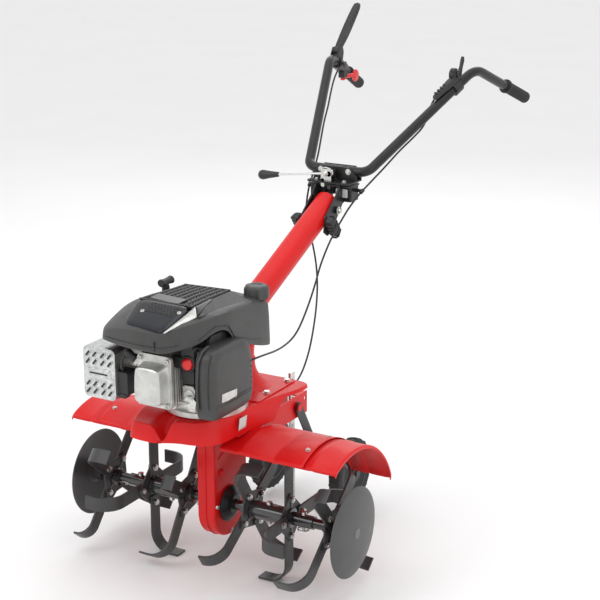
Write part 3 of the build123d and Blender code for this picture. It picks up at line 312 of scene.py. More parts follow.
def turns(count):
    """Angles that share out a full turn."""
    return [2 * math.pi * k / count for k in range(count)]


def hexagon(radius):
    """Corners of a hexagon round the origin."""
    return [(radius * math.cos(math.radians(60 * i)), radius * math.sin(math.radians(60 * i)))
            for i in range(6)]


def lathe(bm, place, profile, steps=40):
    """Turns (radius, height) pairs round the local Z of place."""
    loft(bm, [[place @ Vector((r * math.cos(a), r * math.sin(a), z)) for a in turns(steps)]
              for r, z in profile])


def slab(bm, place, outline, low, high, inset=0.0):
    """A prism of the outline between two heights of place; the top may be drawn in."""
    centre = Vector((sum(p[0] for p in outline) / len(outline),
                     sum(p[1] for p in outline) / len(outline)))
    top = []
    for p in outline:
        away = Vector(p) - centre
        top.append(centre + away * (1 - inset / max(away.length, 1e-6)))
    loft(bm, [[place @ Vector((p[0], p[1], low)) for p in outline],
              [place @ Vector((p[0], p[1], high)) for p in top]])


def rounded(width, height, radius, steps=5):
    """Outline of a rounded rectangle round the origin."""
    found = []
    for cx, cy, start in ((1, 1, 0), (-1, 1, 90), (-1, -1, 180), (1, -1, 270)):
        for i in range(steps + 1):
            a = math.radians(start + 90 * i / steps)
            found.append((cx * (width / 2 - radius) + radius * math.cos(a),
                cy * (height / 2 - radius) + radius * math.sin(a)))
    return found


def sweep(bm, points, radius, sides=14, flat=1.0):
    """A tube that follows points; radius is a number or one for each point."""
    points = [Vector(p) for p in points]
    side = None
    rings = []
    for i, p in enumerate(points):
        run = (points[min(i + 1, len(points) - 1)] - points[max(i - 1, 0)]).normalized()
        side = run.orthogonal() if side is None else side - side.dot(run) * run
        side.normalize()
        other = run.cross(side)
        r = radius[i] if hasattr(radius, "__len__") else radius
        rings.append([p + r * (math.cos(a) * side + flat * math.sin(a) * other)
                      for a in turns(sides)])
    loft(bm, rings)


def hex_bolt(bm, origin, out, across, height, washer):
    """Hexagon head with a washer and a chamfered crown, standing on origin."""
    place = basis(origin, out)
    lathe(bm, place, [(washer, 0), (washer, 1.3), (across * 0.5, 1.3)], 28)
    head = hexagon(across / math.sqrt(3))
    slab(bm, place, head, 1.3, height - 1.0)
    slab(bm, place, [(x * 0.999, y * 0.999) for x, y in head], height - 1.0, height, inset=1.1)


def spline_points(points):
    """Points in metres on the NURBS line that has the given control points, in mm."""
    curve = bpy.data.curves.new("route", "CURVE")
    curve.dimensions = "3D"
    curve.resolution_u = 10
    line = curve.splines.new("NURBS")
    line.points.add(len(points) - 1)
    for target, p in zip(line.points, points):
        target.co = (p[0] * MM, p[1] * MM, p[2] * MM, 1)
    line.order_u = 3
    line.use_endpoint_u = True
    holder = bpy.data.objects.new("route", curve)
    SCENE.collection.objects.link(holder)
    bpy.context.view_layer.update()
    found = bpy.data.meshes.new_from_object(holder)
    followed = [v.co.copy() for v in found.vertices]
    bpy.data.objects.remove(holder)
    bpy.data.meshes.remove(found)
    return followed


# ---------- control cables
CABLE_R = 2.5
# name: control points, length in m, and whether it is a lower cable
CABLES = {
    "throttle_cable_upper": (
        [(181, 857, 1076), (163, 838, 1056), (150, 816, 1020), (154, 782, 978), (141, 738, 950),
         (125, 693, 923), (107, 645, 886), (91, 603, 856), (81, 574, 836)], 0.392, False),
    "clutch_cable_upper": (
        [(-206, 992, 1085), (-203, 960, 1078), (-193, 915, 1056), (-176, 866, 1027),
         (-157, 817, 997), (-140, 764, 966), (-120, 712, 932), (-101, 662, 896), (-88, 616, 862),
         (-77, 576, 838)], 0.504, False),
    "throttle_cable_lower": (
        [(77.5, 563.6, 828.9), (75, 514, 806), (74, 470, 777), (72, 430, 748), (70, 400, 718),
         (69, 368, 680), (70, 341, 638), (72, 300, 590), (75, 252, 549), (78, 212, 534),
         (82, 165, 530), (87, 115, 533), (92, 65, 541), (93, 15, 546), (90, -40, 546),
         (87, -95, 542), (84, -140, 536), (84, -172, 536)], 0.853, True),
    "clutch_cable_lower": (
        [(-74, 565.4, 831.6), (-66, 541, 812), (-58, 519, 775), (-44, 510, 735), (-34, 514, 690),
         (-27, 520, 640), (-18, 512, 585), (-8, 488, 530), (0, 458, 478), (8, 422, 430),
         (18, 372, 394), (28, 318, 378), (36, 262, 374), (34, 212, 380), (12, 178, 392),
         (-20, 158, 402), (-40, 130, 404)], 0.792, True),
}
for name, (route, length, is_lower) in CABLES.items():
    followed = spline_points(route)
    bm = bmesh.new()
    sweep(bm, [p / MM for p in followed], CABLE_R, 12)
    jacket = piece(name, bm, "cable_jacket", None)
    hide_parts("lower_cables" if is_lower else "upper_cables")
    if is_lower:
        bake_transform(jacket)
    else:
        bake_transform(jacket)


# ---------- shapes shared by the pieces
def chaikin(stations, times):
    """Cuts the corners of a closed outline; a station is a list of points at one of its corners."""
    for _ in range(times):
        cut = []
        for here, there in zip(stations, stations[1:] + stations[:1]):
            for share in (0.25, 0.75):
                cut.append([a.lerp(b, share) for a, b in zip(here, there)])
        stations = cut
    return stations


def smooth_outline(points, times):
    """A flat closed outline with its corners cut."""
    return [station[0] for station in chaikin([[Vector((x, y, 0))] for x, y in points], times)]


def skin(bm, stations, times, cap_first=False):
    """Lofts the stations of a closed outline, and closes the ring of their last points."""
    rows = chaikin([[Vector(p) for p in s] for s in stations], times)
    rings = [[row[k] for row in rows] for k in range(len(rows[0]))]
    loft(bm, rings, cap_first=cap_first)


def thicken(made, thickness, offset=-1.0):
    """Gives a shell a sheet thickness, before its bevel."""
    solid = made.modifiers.new("sheet", "SOLIDIFY")
    solid.thickness = thickness * MM
    solid.offset = offset
    solid.use_even_offset = True
    return made


def patch_point(corners, u, v, crown):
    """A point of a four-cornered patch, raised in its middle by crown."""
    a, b, c, d = (Vector(p) for p in corners)
    flat = a.lerp(b, u).lerp(d.lerp(c, u), v)
    return flat + Vector((0, 0, 16 * crown * u * (1 - u) * v * (1 - v)))


def patch(bm, corners, across, along, crown=0.0):
    """A grid over a four-cornered patch."""
    rows = [[bm.verts.new(patch_point(corners, i / across, j / along, crown))
             for i in range(across + 1)] for j in range(along + 1)]
    for low, high in zip(rows, rows[1:]):
        for i in range(across):
            bm.faces.new((low[i], low[i + 1], high[i + 1], high[i]))


def honeycomb(bm, corners, cell, crown, height, inside=lambda u, v: True):
    """Hexagonal rims standing on a patch, like a moulded air screen."""
    a, b, _, d = (Vector(p) for p in corners)
    wide, deep = (b - a).length, (d - a).length
    pitch_x, pitch_y = cell * math.sqrt(3), cell * 1.5
    normal = (b - a).cross(d - a).normalized()
    row = 0
    y = cell
    while y < deep - cell:
        x = pitch_x * (1.0 if row % 2 else 0.5)
        while x < wide - pitch_x * 0.5:
            u, v = x / wide, y / deep
            if inside(u, v):
                outer, inner = [], []
                for k in range(6):
                    turn = math.radians(60 * k + 30)
                    for found, size in ((outer, 0.98), (inner, 0.70)):
                        pu = u + cell * size * math.cos(turn) / wide
                        pv = v + cell * size * math.sin(turn) / deep
                        found.append(patch_point(corners, pu, pv, crown))
                rings = [outer, [p + normal * height for p in outer],
                    [p + normal * height for p in inner], inner]
                loft(bm, rings, cap_first=False, cap_last=False)
            x += pitch_x
        y += pitch_y
        row += 1


# ---------- hood and fenders
DECK_Z = 437  # top of the hood
RIM_DROP = 3.0  # drop from the top to the start of the rolled rim
SHEET = 1.5  # steel of the hood and fenders
AXLE_Z = 172  # tine axle
DISC_X = 370  # end disc off the middle


def ease(t):
    """Smooth step from 0 to 1."""
    t = min(1.0, max(0.0, t))
    return t * t * (3 - 2 * t)


def deck_height(x, y):
    """Height of the hood's top: it dips to the front edge and into a channel by the bowl."""
    dip = (16 if x < -44 else 8) * ease((-y - 132) / 46)
    channel = math.exp(-((x + 36 + 0.10 * (y + 190)) / 15) ** 2)
    return DECK_Z - dip * (1 - channel) - 53 * channel * ease((-y - 122) / 58)


DECK = [(-120, -140), (-121, -186), (-92, -192), (-60, -192), (-46, -190), (-34, -184), (-22, -176),
        (4, -164), (34, -160), (58, -149), (78, -124), (89, -82), (98, -30), (110, 40), (131, 128),
        (139, 152), (138, 200), (60, 200), (-60, 200), (-138, 200), (-139, 152), (-131, 128),
        (-112, 40), (-110, -60)]
outline = smooth_outline(DECK, 2)
dense = []
for here, there in zip(outline, outline[1:] + outline[:1]):
    parts = max(1, round((there - here).length / 6))
    dense.extend(here.lerp(there, k / parts) for k in range(parts))
middle = Vector((0, -10, 0))
stations = []
for p in dense:
    away = (p - middle).normalized()
    drop = 9 + 49 * ease((104 - p.y) / 46)
    bulge = 9 * ease((-p.y - 60) / 60)
    edge_z = deck_height(p.x, p.y)
    low_z = min(edge_z - 3.5, DECK_Z - drop + (1.5 if p.y < -150 else 0))
    low = Vector((p.x, p.y, low_z)) + away * bulge
    top = Vector((p.x, p.y, edge_z - RIM_DROP))
    station = [low - away * 5, low, low.lerp(top, 0.18) + away * 1.0,
               low.lerp(top, 0.65) + away * 2.2 * bulge / 9, top]
    for inset, rise in ((0.9, 1.9), (2.6, 2.8), (7, 3.0)):
        q = p - away * inset
        station.append(Vector((q.x, q.y, deck_height(q.x, q.y) - RIM_DROP + rise)))
    for keep in (0.90, 0.85, 0.80, 0.75, 0.70, 0.6, 0.45, 0.25):
        q = middle + (p - away * 7 - middle) * keep
        station.append(Vector((q.x, q.y, deck_height(q.x, q.y))))
    stations.append(station)
bm = bmesh.new()
skin(bm, stations, 0)
thicken(piece("hood_shell", bm, "red_paint", "root", ["chassis_hood"]), SHEET)

bm = bmesh.new()  # pan under the hood, stiffening presses and cable stop
for low, high in ((-98, -26), (26, 98)):
    slab(bm, basis((0, 0, 379), UP, BACK), [(low, -68), (high, -68), (high, 90), (low, 90)], 0, 2)
for x in (-64, 64):
    slab(bm, basis((x, 10, 381), UP, BACK), rounded(40, 110, 12), 0, 2.2, inset=3)
place = basis((-40, 130, 404), (0.93, -0.36, -0.06))
lathe(bm, place, [(0.1, -12), (5.2, -12), (5.8, -9), (5.8, 8), (4.0, 13), (3.0, 14)], 20)
slab(bm, basis((-40, 119, 420), BACK), rounded(20, 34, 3), -1.5, 1.5)
piece("hood_pan", bm, "red_paint", "root", ["chassis_hood"], bevel=0.5)

bm = bmesh.new()  # blank label on the side of the hood's bowl
patch(bm, ((99.5, -66, 424), (104.0, -40, 426), (104.5, -47, 399), (101.0, -73, 397)), 6, 4)
thicken(piece("hood_blank_label", bm, "blank_sticker", "root"), 0.5, 1.0)


def fender_point(turn, radius, x):
    """A point over the tine axle: turn in degrees from +Y, up round the arch."""
    a = math.radians(turn)
    return Vector((x, radius * math.cos(a), AXLE_Z + radius * math.sin(a)))


def arch(name, node, sections, side, start, end):
    """A fender skin from sections of (distance off the middle, radius), with rolled end lips."""
    bm = bmesh.new()
    steps = 44
    tucks = {0: 5.0, 1: 1.0, steps - 1: 1.0, steps: 5.0}
    rings = []
    for i in range(steps + 1):
        turn = start + (end - start) * i / steps
        rings.append([fender_point(turn, r - tucks.get(i, 0.0), side * x) for x, r in sections])
    loft(bm, rings, closed=False)
    thicken(piece(name, bm, "red_paint", "root", [node], bevel=0.4), SHEET)


for side, word in ((1, "left"), (-1, "right")):
    inner = [(62, 207.2), (66, 207.2), (112, 207.2), (116, 209.2), (124, 209.2), (128, 207.2),
             (200, 207.2), (204, 205.4), (214, 205.4), (218, 207.2), (276, 207.2), (281, 208.4),
             (286, 208.2)]
    outer = [(262, 204.6), (300, 204.6), (304, 206.2), (309, 206.2), (313, 204.6), (352, 204.6),
             (358, 205.6), (364, 205.4), (367.6, 202.5), (368, 197)]
    arch(f"inner_fender_{word}", "inner_fenders", inner, side, 119, 19)
    arch(f"outer_fender_{word}", "outer_fenders", outer, side, 118.6, 19.4)

# ---------- engine shroud and visor
# lower edge, height of the shoulder, edge of the flat top
SHROUD = [((-150, -253, 633), 652, (-112, -190, 694)), ((-110, -268, 633), 665, (-98, -196, 698)),
          ((-66, -282, 634), 675, (-60, -196, 705)), ((0, -290, 636), 679, (-5, -196, 707)),
          ((46, -290, 637), 682, (36, -194, 707)), ((80, -270, 647), 697, (62, -185, 707)),
          ((99, -226, 650), 700, (76, -165, 707)), ((112, -178, 670), 700, (88, -140, 705)),
          ((117, -136, 663), 698, (93, -110, 705)), ((118, -112, 626), 696, (94, -90, 704)),
          ((118, -30, 596), 684, (95, -30, 698)), ((117, 20, 580), 677, (92, 8, 694)),
          ((113, 62, 572), 670, (84, 30, 691)), ((60, 70, 572), 672, (50, 40, 691)),
          ((0, 70, 572), 676, (0, 42, 692)), ((-60, 66, 576), 676, (-50, 38, 692)),
          ((-115, 40, 612), 676, (-90, 18, 692)), ((-142, -20, 622), 680, (-108, -25, 694)),
          ((-150, -80, 630), 686, (-114, -80, 697)), ((-152, -150, 633), 686, (-114, -130, 698)),
          ((-152, -212, 633), 668, (-113, -165, 697))]
bm = bmesh.new()
stations = []
for low, shoulder, plateau in SHROUD:
    low, plateau = Vector(low), Vector(plateau)
    inward = Vector((plateau.x - low.x, plateau.y - low.y, 0)).normalized()
    edge_point = Vector((low.x, low.y, shoulder)) + inward * 4
    stations.append([low + inward * 3, low, low.lerp(edge_point, 0.12) - inward * 0.8,
                     low.lerp(edge_point, 0.72) - inward * 1.2, edge_point,
                     edge_point.lerp(plateau, 0.10) + Vector((0, 0, 2.4)),
                     edge_point.lerp(plateau, 0.55) + Vector((0, 0, 3.5)), plateau])
skin(bm, stations, 2)
piece("engine_shroud", bm, "grey_plastic", "root",
      ["blower_shroud", "top_grille", "fuel_tank"], bevel=0.8)

bm = bmesh.new()  # short rib and the seams round the shroud's lower edge
slab(bm, basis((24, -293, 652), FRONT), rounded(1.6, 22, 0.6), -3, 0.6)
sweep(bm, [(-132, -260, 641), (-110, -271, 643), (-66, -284.5, 645), (0, -292, 647),
    (46, -292, 649), (80, -273, 657)], 1.1, 8)
sweep(bm, [(99.5, -226, 660), (112.5, -178, 680), (118.5, -136, 673), (119, -112, 640),
           (119, -30, 610), (118, 0, 602)], 1.1, 8)
piece("shroud_seams", bm, "grey_plastic", "root")

bm = bmesh.new()  # painted shade: black slabs stand in for the shade inside the cooling air's mouth, seen in the arch
slab(bm, basis((104, -150, 642), LEFT), rounded(84, 34, 12), -8, 0)
slab(bm, basis((60, -242, 648), FRONT), rounded(60, 22, 6), -8, 0)
piece("cooling_mouth_shade", bm, "black_plastic", "root", bevel=1.5)

VISOR = ((-76, -264, 682), (49, -290, 686), (55, -188, 718), (-92, -178, 715))
bm = bmesh.new()
SQUARENESS = 0.34  # exponent of the visor's rounded outline
outline = []
for turn in turns(48):
    cu, cv = math.cos(turn), math.sin(turn)
    outline.append((0.5 + 0.5 * math.copysign(abs(cu) ** SQUARENESS, cu),
                    0.5 + 0.5 * math.copysign(abs(cv) ** SQUARENESS, cv)))
rings = []
for shrink, rise in ((1.0, -6), (1.0, -1.0), (0.985, 0.6), (0.95, 1.4), (0.7, 1.4), (0.4, 1.4),
                     (0.1, 1.4)):
    rings.append([patch_point(VISOR, 0.5 + (u - 0.5) * shrink, 0.5 + (v - 0.5) * shrink, 3.0)
                  + Vector((0, 0, rise)) for u, v in outline])
loft(bm, rings)
piece("visor", bm, "visor", "root")

bm = bmesh.new()
honeycomb(bm, [Vector(p) + Vector((0, 0, 1.2)) for p in VISOR], 4.6, 3.0, 0.8,
          inside=lambda u, v: 0.30 < u < 0.84 and 0.52 < v < 0.93)
piece("visor_honeycomb", bm, "black_plastic", "root")

bm = bmesh.new()  # bright blade and dark wedge beside the visor
patch(bm, ((50, -291, 688), (53, -290, 688), (86, -214, 709), (61, -182, 720)), 6, 16, 2.0)
thicken(piece("shroud_blade", bm, "zinc_steel", "root"), 3.0)
bm = bmesh.new()
patch(bm, ((61, -181, 720), (86, -213, 709), (60, -112, 718), (56, -112, 718.5)), 6, 10, 0.6)
thicken(piece("shroud_wedge", bm, "visor", "root"), 3.0)

# ribbed top of the shroud: long bars over a honeycomb screen, round a blank name panel
TOP = ((-92, -176, 713), (54, -180, 716), (42, -8, 708), (-84, -8, 704))
bm = bmesh.new()
patch(bm, TOP, 14, 14, 1.5)
thicken(piece("top_screen_base", bm, "black_plastic", "root", ["top_grille"]), 6)
bm = bmesh.new()
honeycomb(bm, TOP, 4.4, 1.5, 1.3)
piece("top_screen", bm, "black_plastic", "root", ["top_grille"])
bm = bmesh.new()
for k in range(8):
    u = 0.03 + 0.94 * k / 7
    bend = 0.05 * (0.5 - u)
    line = [patch_point(TOP, min(1, max(0, u + bend * math.sin(math.pi * v / 20))), v / 20, 1.5)
            + Vector((0, 0, 1.8)) for v in range(21)]
    sweep(bm, line, [2.0 if 0 < i < 20 else 1.0 for i in range(21)], 10, flat=1.5)
for v in (0.0, 1.0):
    line = [patch_point(TOP, u / 12, v, 1.5) + Vector((0, 0, 1.6)) for u in range(13)]
    sweep(bm, line, 2.6, 10)
piece("top_bars", bm, "grey_plastic", "root", ["top_grille"])
bm = bmesh.new()
slab(bm, basis((-26, -160, 718.0), (0, -0.06, 1), (0.10, 1, 0)), rounded(84, 34, 4), -3, 2.0,
    inset=1.0)
piece("blank_name_panel", bm, "gloss_black_paint", "root", bevel=0.5)
SIDE_SCREEN = ((90, -214, 708), (107, -12, 691), (46, -6, 709), (56, -118, 717))
bm = bmesh.new()
patch(bm, SIDE_SCREEN, 16, 4, 0.8)
thicken(piece("side_screen_base", bm, "black_plastic", "root"), 3)
bm = bmesh.new()
honeycomb(bm, SIDE_SCREEN, 4.0, 0.8, 1.3)
piece("side_screen", bm, "mesh_grey", "root")
bm = bmesh.new()
for x, y, z in ((-53, -222, 703), (41, -216, 711), (96, -20, 692), (-100, -60, 700)):
    place = basis((x, y, z), (0, -0.2, 1))
    lathe(bm, place, [(5.2, -3), (5.2, 1.2), (4.4, 2.2), (2.4, 2.2), (2.2, 0.8), (0.2, 0.8)], 24)
piece("shroud_screws", bm, "zinc_steel", "root")

# ---------- engine details
bm = bmesh.new()  # air-filter cover: a crowned box, ridge and vents
cover_side = [(-238, 497), (-234, 482), (-222, 474), (-90, 474), (-74, 482), (-66, 500),
    (-65, 560), (-72, 606), (-86, 630), (-104, 640), (-208, 640), (-228, 634), (-240, 616),
    (-243, 560)]
middle = Vector((-152, 557))
stations = []
for y, z in cover_side:
    away = Vector((y, z)) - middle
    station = []
    for x, shrink in ((97, 0.0), (126, 0.5), (134, 2.5), (139, 6), (142, 12), (143, 24)):
        at = middle + away * (1 - shrink / away.length)
        station.append((x, at.x, at.y))
    stations.append(station)
skin(bm, stations, 2, cap_first=True)
piece("filter_cover", bm, "grey_plastic", "root", ["air_filter_cover"], bevel=0.6)

bm = bmesh.new()  # raised front band, ribs and grooves of the cover
sweep(bm, [(104, -243.5, 502), (104, -246, 560), (106, -243, 616), (110, -231, 637),
    (110, -208, 643)], 3.2, 10)
sweep(bm, [(128, -242, 506), (129, -245, 560), (130, -241, 614), (131, -229, 634)], 1.6, 10)
for z in (508, 514):
    sweep(bm, [(142.6, -224, z), (144.2, -150, z), (142.6, -82, z)], 1.0, 8)
for z in (612, 619, 626):
    sweep(bm, [(139.5, -214, z), (140.5, -150, z), (139.5, -96, z)], 1.1, 8)
piece("filter_cover_ribs", bm, "grey_plastic", "root", ["air_filter_cover"])
bm = bmesh.new()
slab(bm, basis((143.2, -176, 524), LEFT, (0, 0.08, 1)), rounded(62, 20, 1.5), -1, 0.9)
piece("filter_blank_label", bm, "zinc_steel", "root", bevel=0.3)
bm = bmesh.new()  # painted shade: black patches stand in for the shade inside the vents at the rear of the cover
for i in range(6):
    slab(bm, basis((141.6, -88, 515 + 13 * i), LEFT, (0, 0.25, 0.97)), rounded(20, 5, 2.4), -2,
        1.2)
piece("filter_vent_shade", bm, "black_plastic", "root")

bm = bmesh.new()  # flange, tapering body and raised blank panel
front = basis((6, -258, 562), FRONT)
slab(bm, front, rounded(90, 124, 12), 0, 8, inset=1.0)
body = [(-37, -54), (37, -54), (40, -30), (38, 30), (30, 44), (-30, 44), (-38, 30), (-40, -30)]
loft(bm, [[front @ Vector((p.x * s, p.y * s, z)) for p in smooth_outline(body, 3)]
          for z, s in ((7, 1.02), (12, 0.96), (32, 0.90), (38, 0.865), (40.5, 0.80), (40.8, 0.5))])
slab(bm, basis((6, -298.2, 560), FRONT), rounded(46, 40, 6), -2, 0.7, inset=1.0)
for x in (-36, 36):
    for z in (-53, 51):
        lathe(bm, front @ Matrix.Translation((x, z, 7)), [(7.0, 0), (7.0, 2.2), (5.6, 2.2),
            (5.6, 7.4), (4.6, 8.2), (2.9, 8.2), (2.7, 5.4), (0.2, 5.4)], 24)
piece("rocker_cover", bm, "cast_aluminium", "root", ["valve_cover"], bevel=0.5)

bm = bmesh.new()  # louvred muffler guard: a drawn plate with its rim
GUARD = basis((-148.5, -260, 552), FRONT)
LOUVRES = [Matrix.Translation((x, z, 0)) @ Matrix.Rotation(math.radians(50), 4, "Z")
           for x in (-30, -11, 11, 30) for z in (-44, -26, 26, 44)]
hollow = rounded(89, 122, 12)
loft(bm, [[GUARD @ Vector((x * s, y * t, z)) for x, y in hollow]
          for s, t, z in ((1.0, 1.0, -90), (1.0, 1.0, 0), (0.985, 0.99, 2.4), (0.93, 0.945, 3.0),
                          (0.90, 0.925, 1.4), (0.4, 0.4, 1.4))], cap_first=False)
for louvre in LOUVRES:
    slab(bm, GUARD @ louvre, rounded(20, 9.0, 4.2), 1.4, 4.3, inset=1.6)
place = GUARD @ Matrix.Translation((0, 0, 1.4))
slab(bm, place, rounded(66, 20, 6), 0, 4.4, inset=3.0)
for y in (-5, 5):
    slab(bm, place @ Matrix.Translation((0, y, 4.0)), rounded(54, 3.2, 1.5), 0, 1.8, inset=0.6)
piece("guard_plate", bm, "galvanised_sheet", "root", ["muffler_guard"], bevel=0.4)
bm = bmesh.new()  # painted shade: black patches on the louvres and the middle press stand in for the shade in the guard's slots
for louvre in LOUVRES:
    slab(bm, GUARD @ louvre, rounded(16, 5.0, 2.4), 4.0, 4.9)
slab(bm, GUARD @ Matrix.Translation((0, 0, 5.5)), rounded(50, 4, 1.8), 0, 0.6)
piece("guard_slot_shade", bm, "black_plastic", "root")

bm = bmesh.new()  # primer panel with the dark ring round the bulb
PRIMER = basis((78, -226, 606), FRONT)
slab(bm, basis((76, -226, 601), FRONT), rounded(34, 86, 8), 0, 13, inset=1.5)
lathe(bm, PRIMER, [(19.5, 0), (19.5, 14), (18, 17), (15.2, 17.4),
    (14.6, 15), (14.6, 4)], 48)
slab(bm, basis((58, -238, 606), FRONT), rounded(56, 26, 6), -10, 4, inset=1.0)
piece("primer_panel", bm, "black_plastic", "root", ["primer_housing"], bevel=0.8)
bm = bmesh.new()
lathe(bm, PRIMER, [(13.9, 8), (13.9, 15), (13.4, 19), (11.6, 22.6),
    (8.6, 25.0), (4.5, 26.2), (0.2, 26.4)], 48)
piece("primer_dome", bm, "red_rubber", "primer_bulb", ["primer_bulb"])

bm = bmesh.new()  # carburettor: body, bowl, throttle plate and screws
slab(bm, basis((76, -236, 530), FRONT), rounded(34, 50, 6), -38, 0, inset=2)
lathe(bm, basis((76, -216, 505), (0, 0, -1)), [(15.5, -4), (15.5, 6), (14.4, 14), (10, 17),
    (4, 17.4), (4, 20), (0.2, 20)], 36)
lathe(bm, basis((76, -236, 530), FRONT), [(15, -2), (15, 3), (12.6, 4.6), (12, 2), (0.2, 2)], 36)
for x, z in ((64, 549), (88, 549), (64, 512), (88, 512)):
    lathe(bm, basis((x, -236, z), FRONT), [(3.4, -1), (3.4, 2.4), (2.6, 3.2), (0.2, 3.2)], 16)
slab(bm, basis((65, -170, 531), LEFT), rounded(40, 18, 4), -5, 5)
piece("carburettor_body", bm, "cast_aluminium", "root", ["carburettor"], bevel=0.5)
bm = bmesh.new()  # control bracket, link and return spring
slab(bm, basis((82, -241, 519), FRONT), [(-16, -12), (14, -14), (17, 2), (4, 14), (-12, 10)], 0,
    1.8)
sweep(bm, [(66, -243, 524), (76, -246, 532), (88, -244, 526), (92, -238, 510)], 1.1, 10)
COILS, COIL_STEPS = 9, 96
coil = []
for i in range(COIL_STEPS + 1):
    t = i / COIL_STEPS
    turn = 2 * math.pi * COILS * t
    coil.append((58 + 20 * t, -247 + 2.6 * math.sin(turn), 515 + 2.6 * math.cos(turn)))
sweep(bm, coil, 0.6, 6)
piece("throttle_links", bm, "zinc_steel", "root")

bm = bmesh.new()  # cooling fins of the cylinder head
for i in range(12):
    y = -250 + 8.6 * i
    slab(bm, basis((6, y, 546), FRONT), rounded(90, 98, 8), -3, 0, inset=0.6)
slab(bm, basis((6, -138, 555), FRONT), rounded(72, 96, 6), 0, 118)
piece("head_fins", bm, "cast_aluminium", "root", ["cylinder_head"], bevel=0.4)
bm = bmesh.new()  # ignition coil block and its leg
slab(bm, basis((-92, -240, 534), FRONT), rounded(32, 58, 5), -20, 14, inset=2)
slab(bm, basis((-92, -246, 505), FRONT), rounded(20, 10, 3), -8, 10)
piece("coil_block", bm, "black_plastic", "root", bevel=1.0)
bm = bmesh.new()  # plug boot and its lead
seat, out_dir = Vector((-46, -243, 588)), Vector((-1, -0.25, 0.75)).normalized()
place = basis(seat, out_dir)
lathe(bm, place, [(8.0, 14), (10.4, 16), (10.6, 22), (9.0, 24), (9.0, 30), (10.2, 32), (10.2, 38),
                  (7.4, 43), (4.0, 45), (0.2, 45)], 28)
sweep(bm, [seat + out_dir * 40, seat + out_dir * 43 + Vector((-3, -4, -8)), (-90, -255, 590),
           (-94, -252, 572), (-93, -246, 562)], 3.4, 12)
piece("plug_boot", bm, "black_plastic", "root", ["spark_plug"])
bm = bmesh.new()  # hexagon and collars of the spark plug
lathe(bm, place, [(6, -12), (6, 5), (9, 5), (9, 6)], 24)
slab(bm, place, hexagon(11.2), 6, 13)
lathe(bm, place, [(5, 13), (5, 16)], 20)
piece("plug_body", bm, "zinc_steel", "root", ["spark_plug"])

bm = bmesh.new()  # filler neck
lathe(bm, basis((80, 46, 664), UP, BACK), [(23, 0), (21.5, 14), (19, 18), (19, 24)], 40)
piece("filler_neck", bm, "grey_plastic", "root", ["fuel_tank"])
bm = bmesh.new()  # lobed fuel cap on its neck
cap = basis((80, 46, 684), UP, BACK)
rings = []
for z, swell, lobes in ((0, 27.5, 0.0), (2, 29.0, 1.0), (24, 28.4, 1.0), (28.5, 26.6, 0.9),
        (31, 22.5, 0.3), (31.6, 14, 0.0), (30.4, 12, 0.0), (30.4, 0.4, 0.0)):
    reach = [(a, swell + lobes * 1.9 * math.cos(8 * a)) for a in turns(96)]
    rings.append([cap @ Vector((r * math.cos(a), r * math.sin(a), z)) for a, r in reach])
loft(bm, rings)
piece("cap_lobed", bm, "grey_plastic", "fuel_cap", ["fuel_cap"])

bm = bmesh.new()  # starter handle: a waisted T grip
grip = []
for i in range(25):
    t = -30 + 60 * i / 24
    half = (11.0 - 2.2 * (1 - (t / 30) ** 2)) * (1.0 if abs(t) < 29 else 0.82)
    grip.append([Vector((-120, -32 + 0.72 * t, 714))
                 + Vector((half * math.cos(a), 0, 0.92 * half * math.sin(a))) for a in turns(20)])
loft(bm, grip)
lathe(bm, basis((-122, -31, 688), UP), [(8, 0), (9.4, 2), (9.4, 14), (7.8, 18), (7.0, 24)], 28)
piece("starter_grip", bm, "black_plastic", "starter_handle", ["starter_handle"], bevel=0.3)

# ---------- rotor
bm = bmesh.new()  # shallow dished discs with a rolled rim
for side in (1, -1):
    place = basis((side * DISC_X, 0, AXLE_Z), (side, 0, 0))
    lathe(bm, place, [(0.2, 5.8), (20, 5.4), (50, 3.8), (80, 0.6), (100, -3.2), (107, -5.0),
        (109, -5.8), (108.4, -7.2), (100, -5.4), (80, -1.6), (50, 1.6), (20, 3.2), (0.2, 3.4)], 96)
    lathe(bm, place, [(22, -26), (22, -1), (30, 1.6), (30, 3.0)], 40)
piece("dished_discs", bm, "disc_grey", "rotor", ["end_discs"])

bm = bmesh.new()  # pressed crosses and collars of the tine flanges
for side in (1, -1):
    for number, x in enumerate((91, 197, 312)):
        for face in (1, -1):
            place = basis((side * x + 2.1 * face, 0, AXLE_Z), (face, 0, 0))
            for turn in (45, 135, 225, 315):
                spin = place @ Matrix.Rotation(math.radians(turn + 45 * number), 4, "Z")
                slab(bm, spin @ Matrix.Translation((32, 0, 0)), rounded(24, 5, 2.2), -0.5, 1.8,
                    inset=1.0)
        lathe(bm, basis((side * x, 0, AXLE_Z), LEFT), [(21, -7), (24, -6), (24, 6), (21, 7)], 40)
piece("flange_presses", bm, "gloss_black_paint", "rotor", bevel=0.3)

# ---------- trim of the leg
bm = bmesh.new()  # raised diagonal press and hexagon plug on the leg's sides
for side in (1, -1):
    sweep(bm, [(side * 25.0, -44, 300), (side * 25.0, -20, 312), (side * 25.0, 68, 378)], 2.2, 10)
    place = basis((side * 25, -34, 262), (side, 0, 0))
    lathe(bm, place, [(10, -1), (10, 1.6), (8.6, 2.4), (0.2, 2.4)], 28)
    slab(bm, place, hexagon(8), 2.0, 6.5, inset=0.6)
piece("leg_presses", bm, "red_paint", "root")
bm = bmesh.new()  # rolled weld bead round the leg's front and foot
line = [(0, -62.6, 372), (0, -62.6, 160)]
for k in range(19):
    a = math.radians(180 + 10 * k)
    line.append((0, 11 + 73.4 * math.cos(a), 159 + 73.4 * math.sin(a)))
line.append((0, 84.6, 300))
sweep(bm, line, 2.0, 10)
piece("leg_seam", bm, "red_paint", "root")

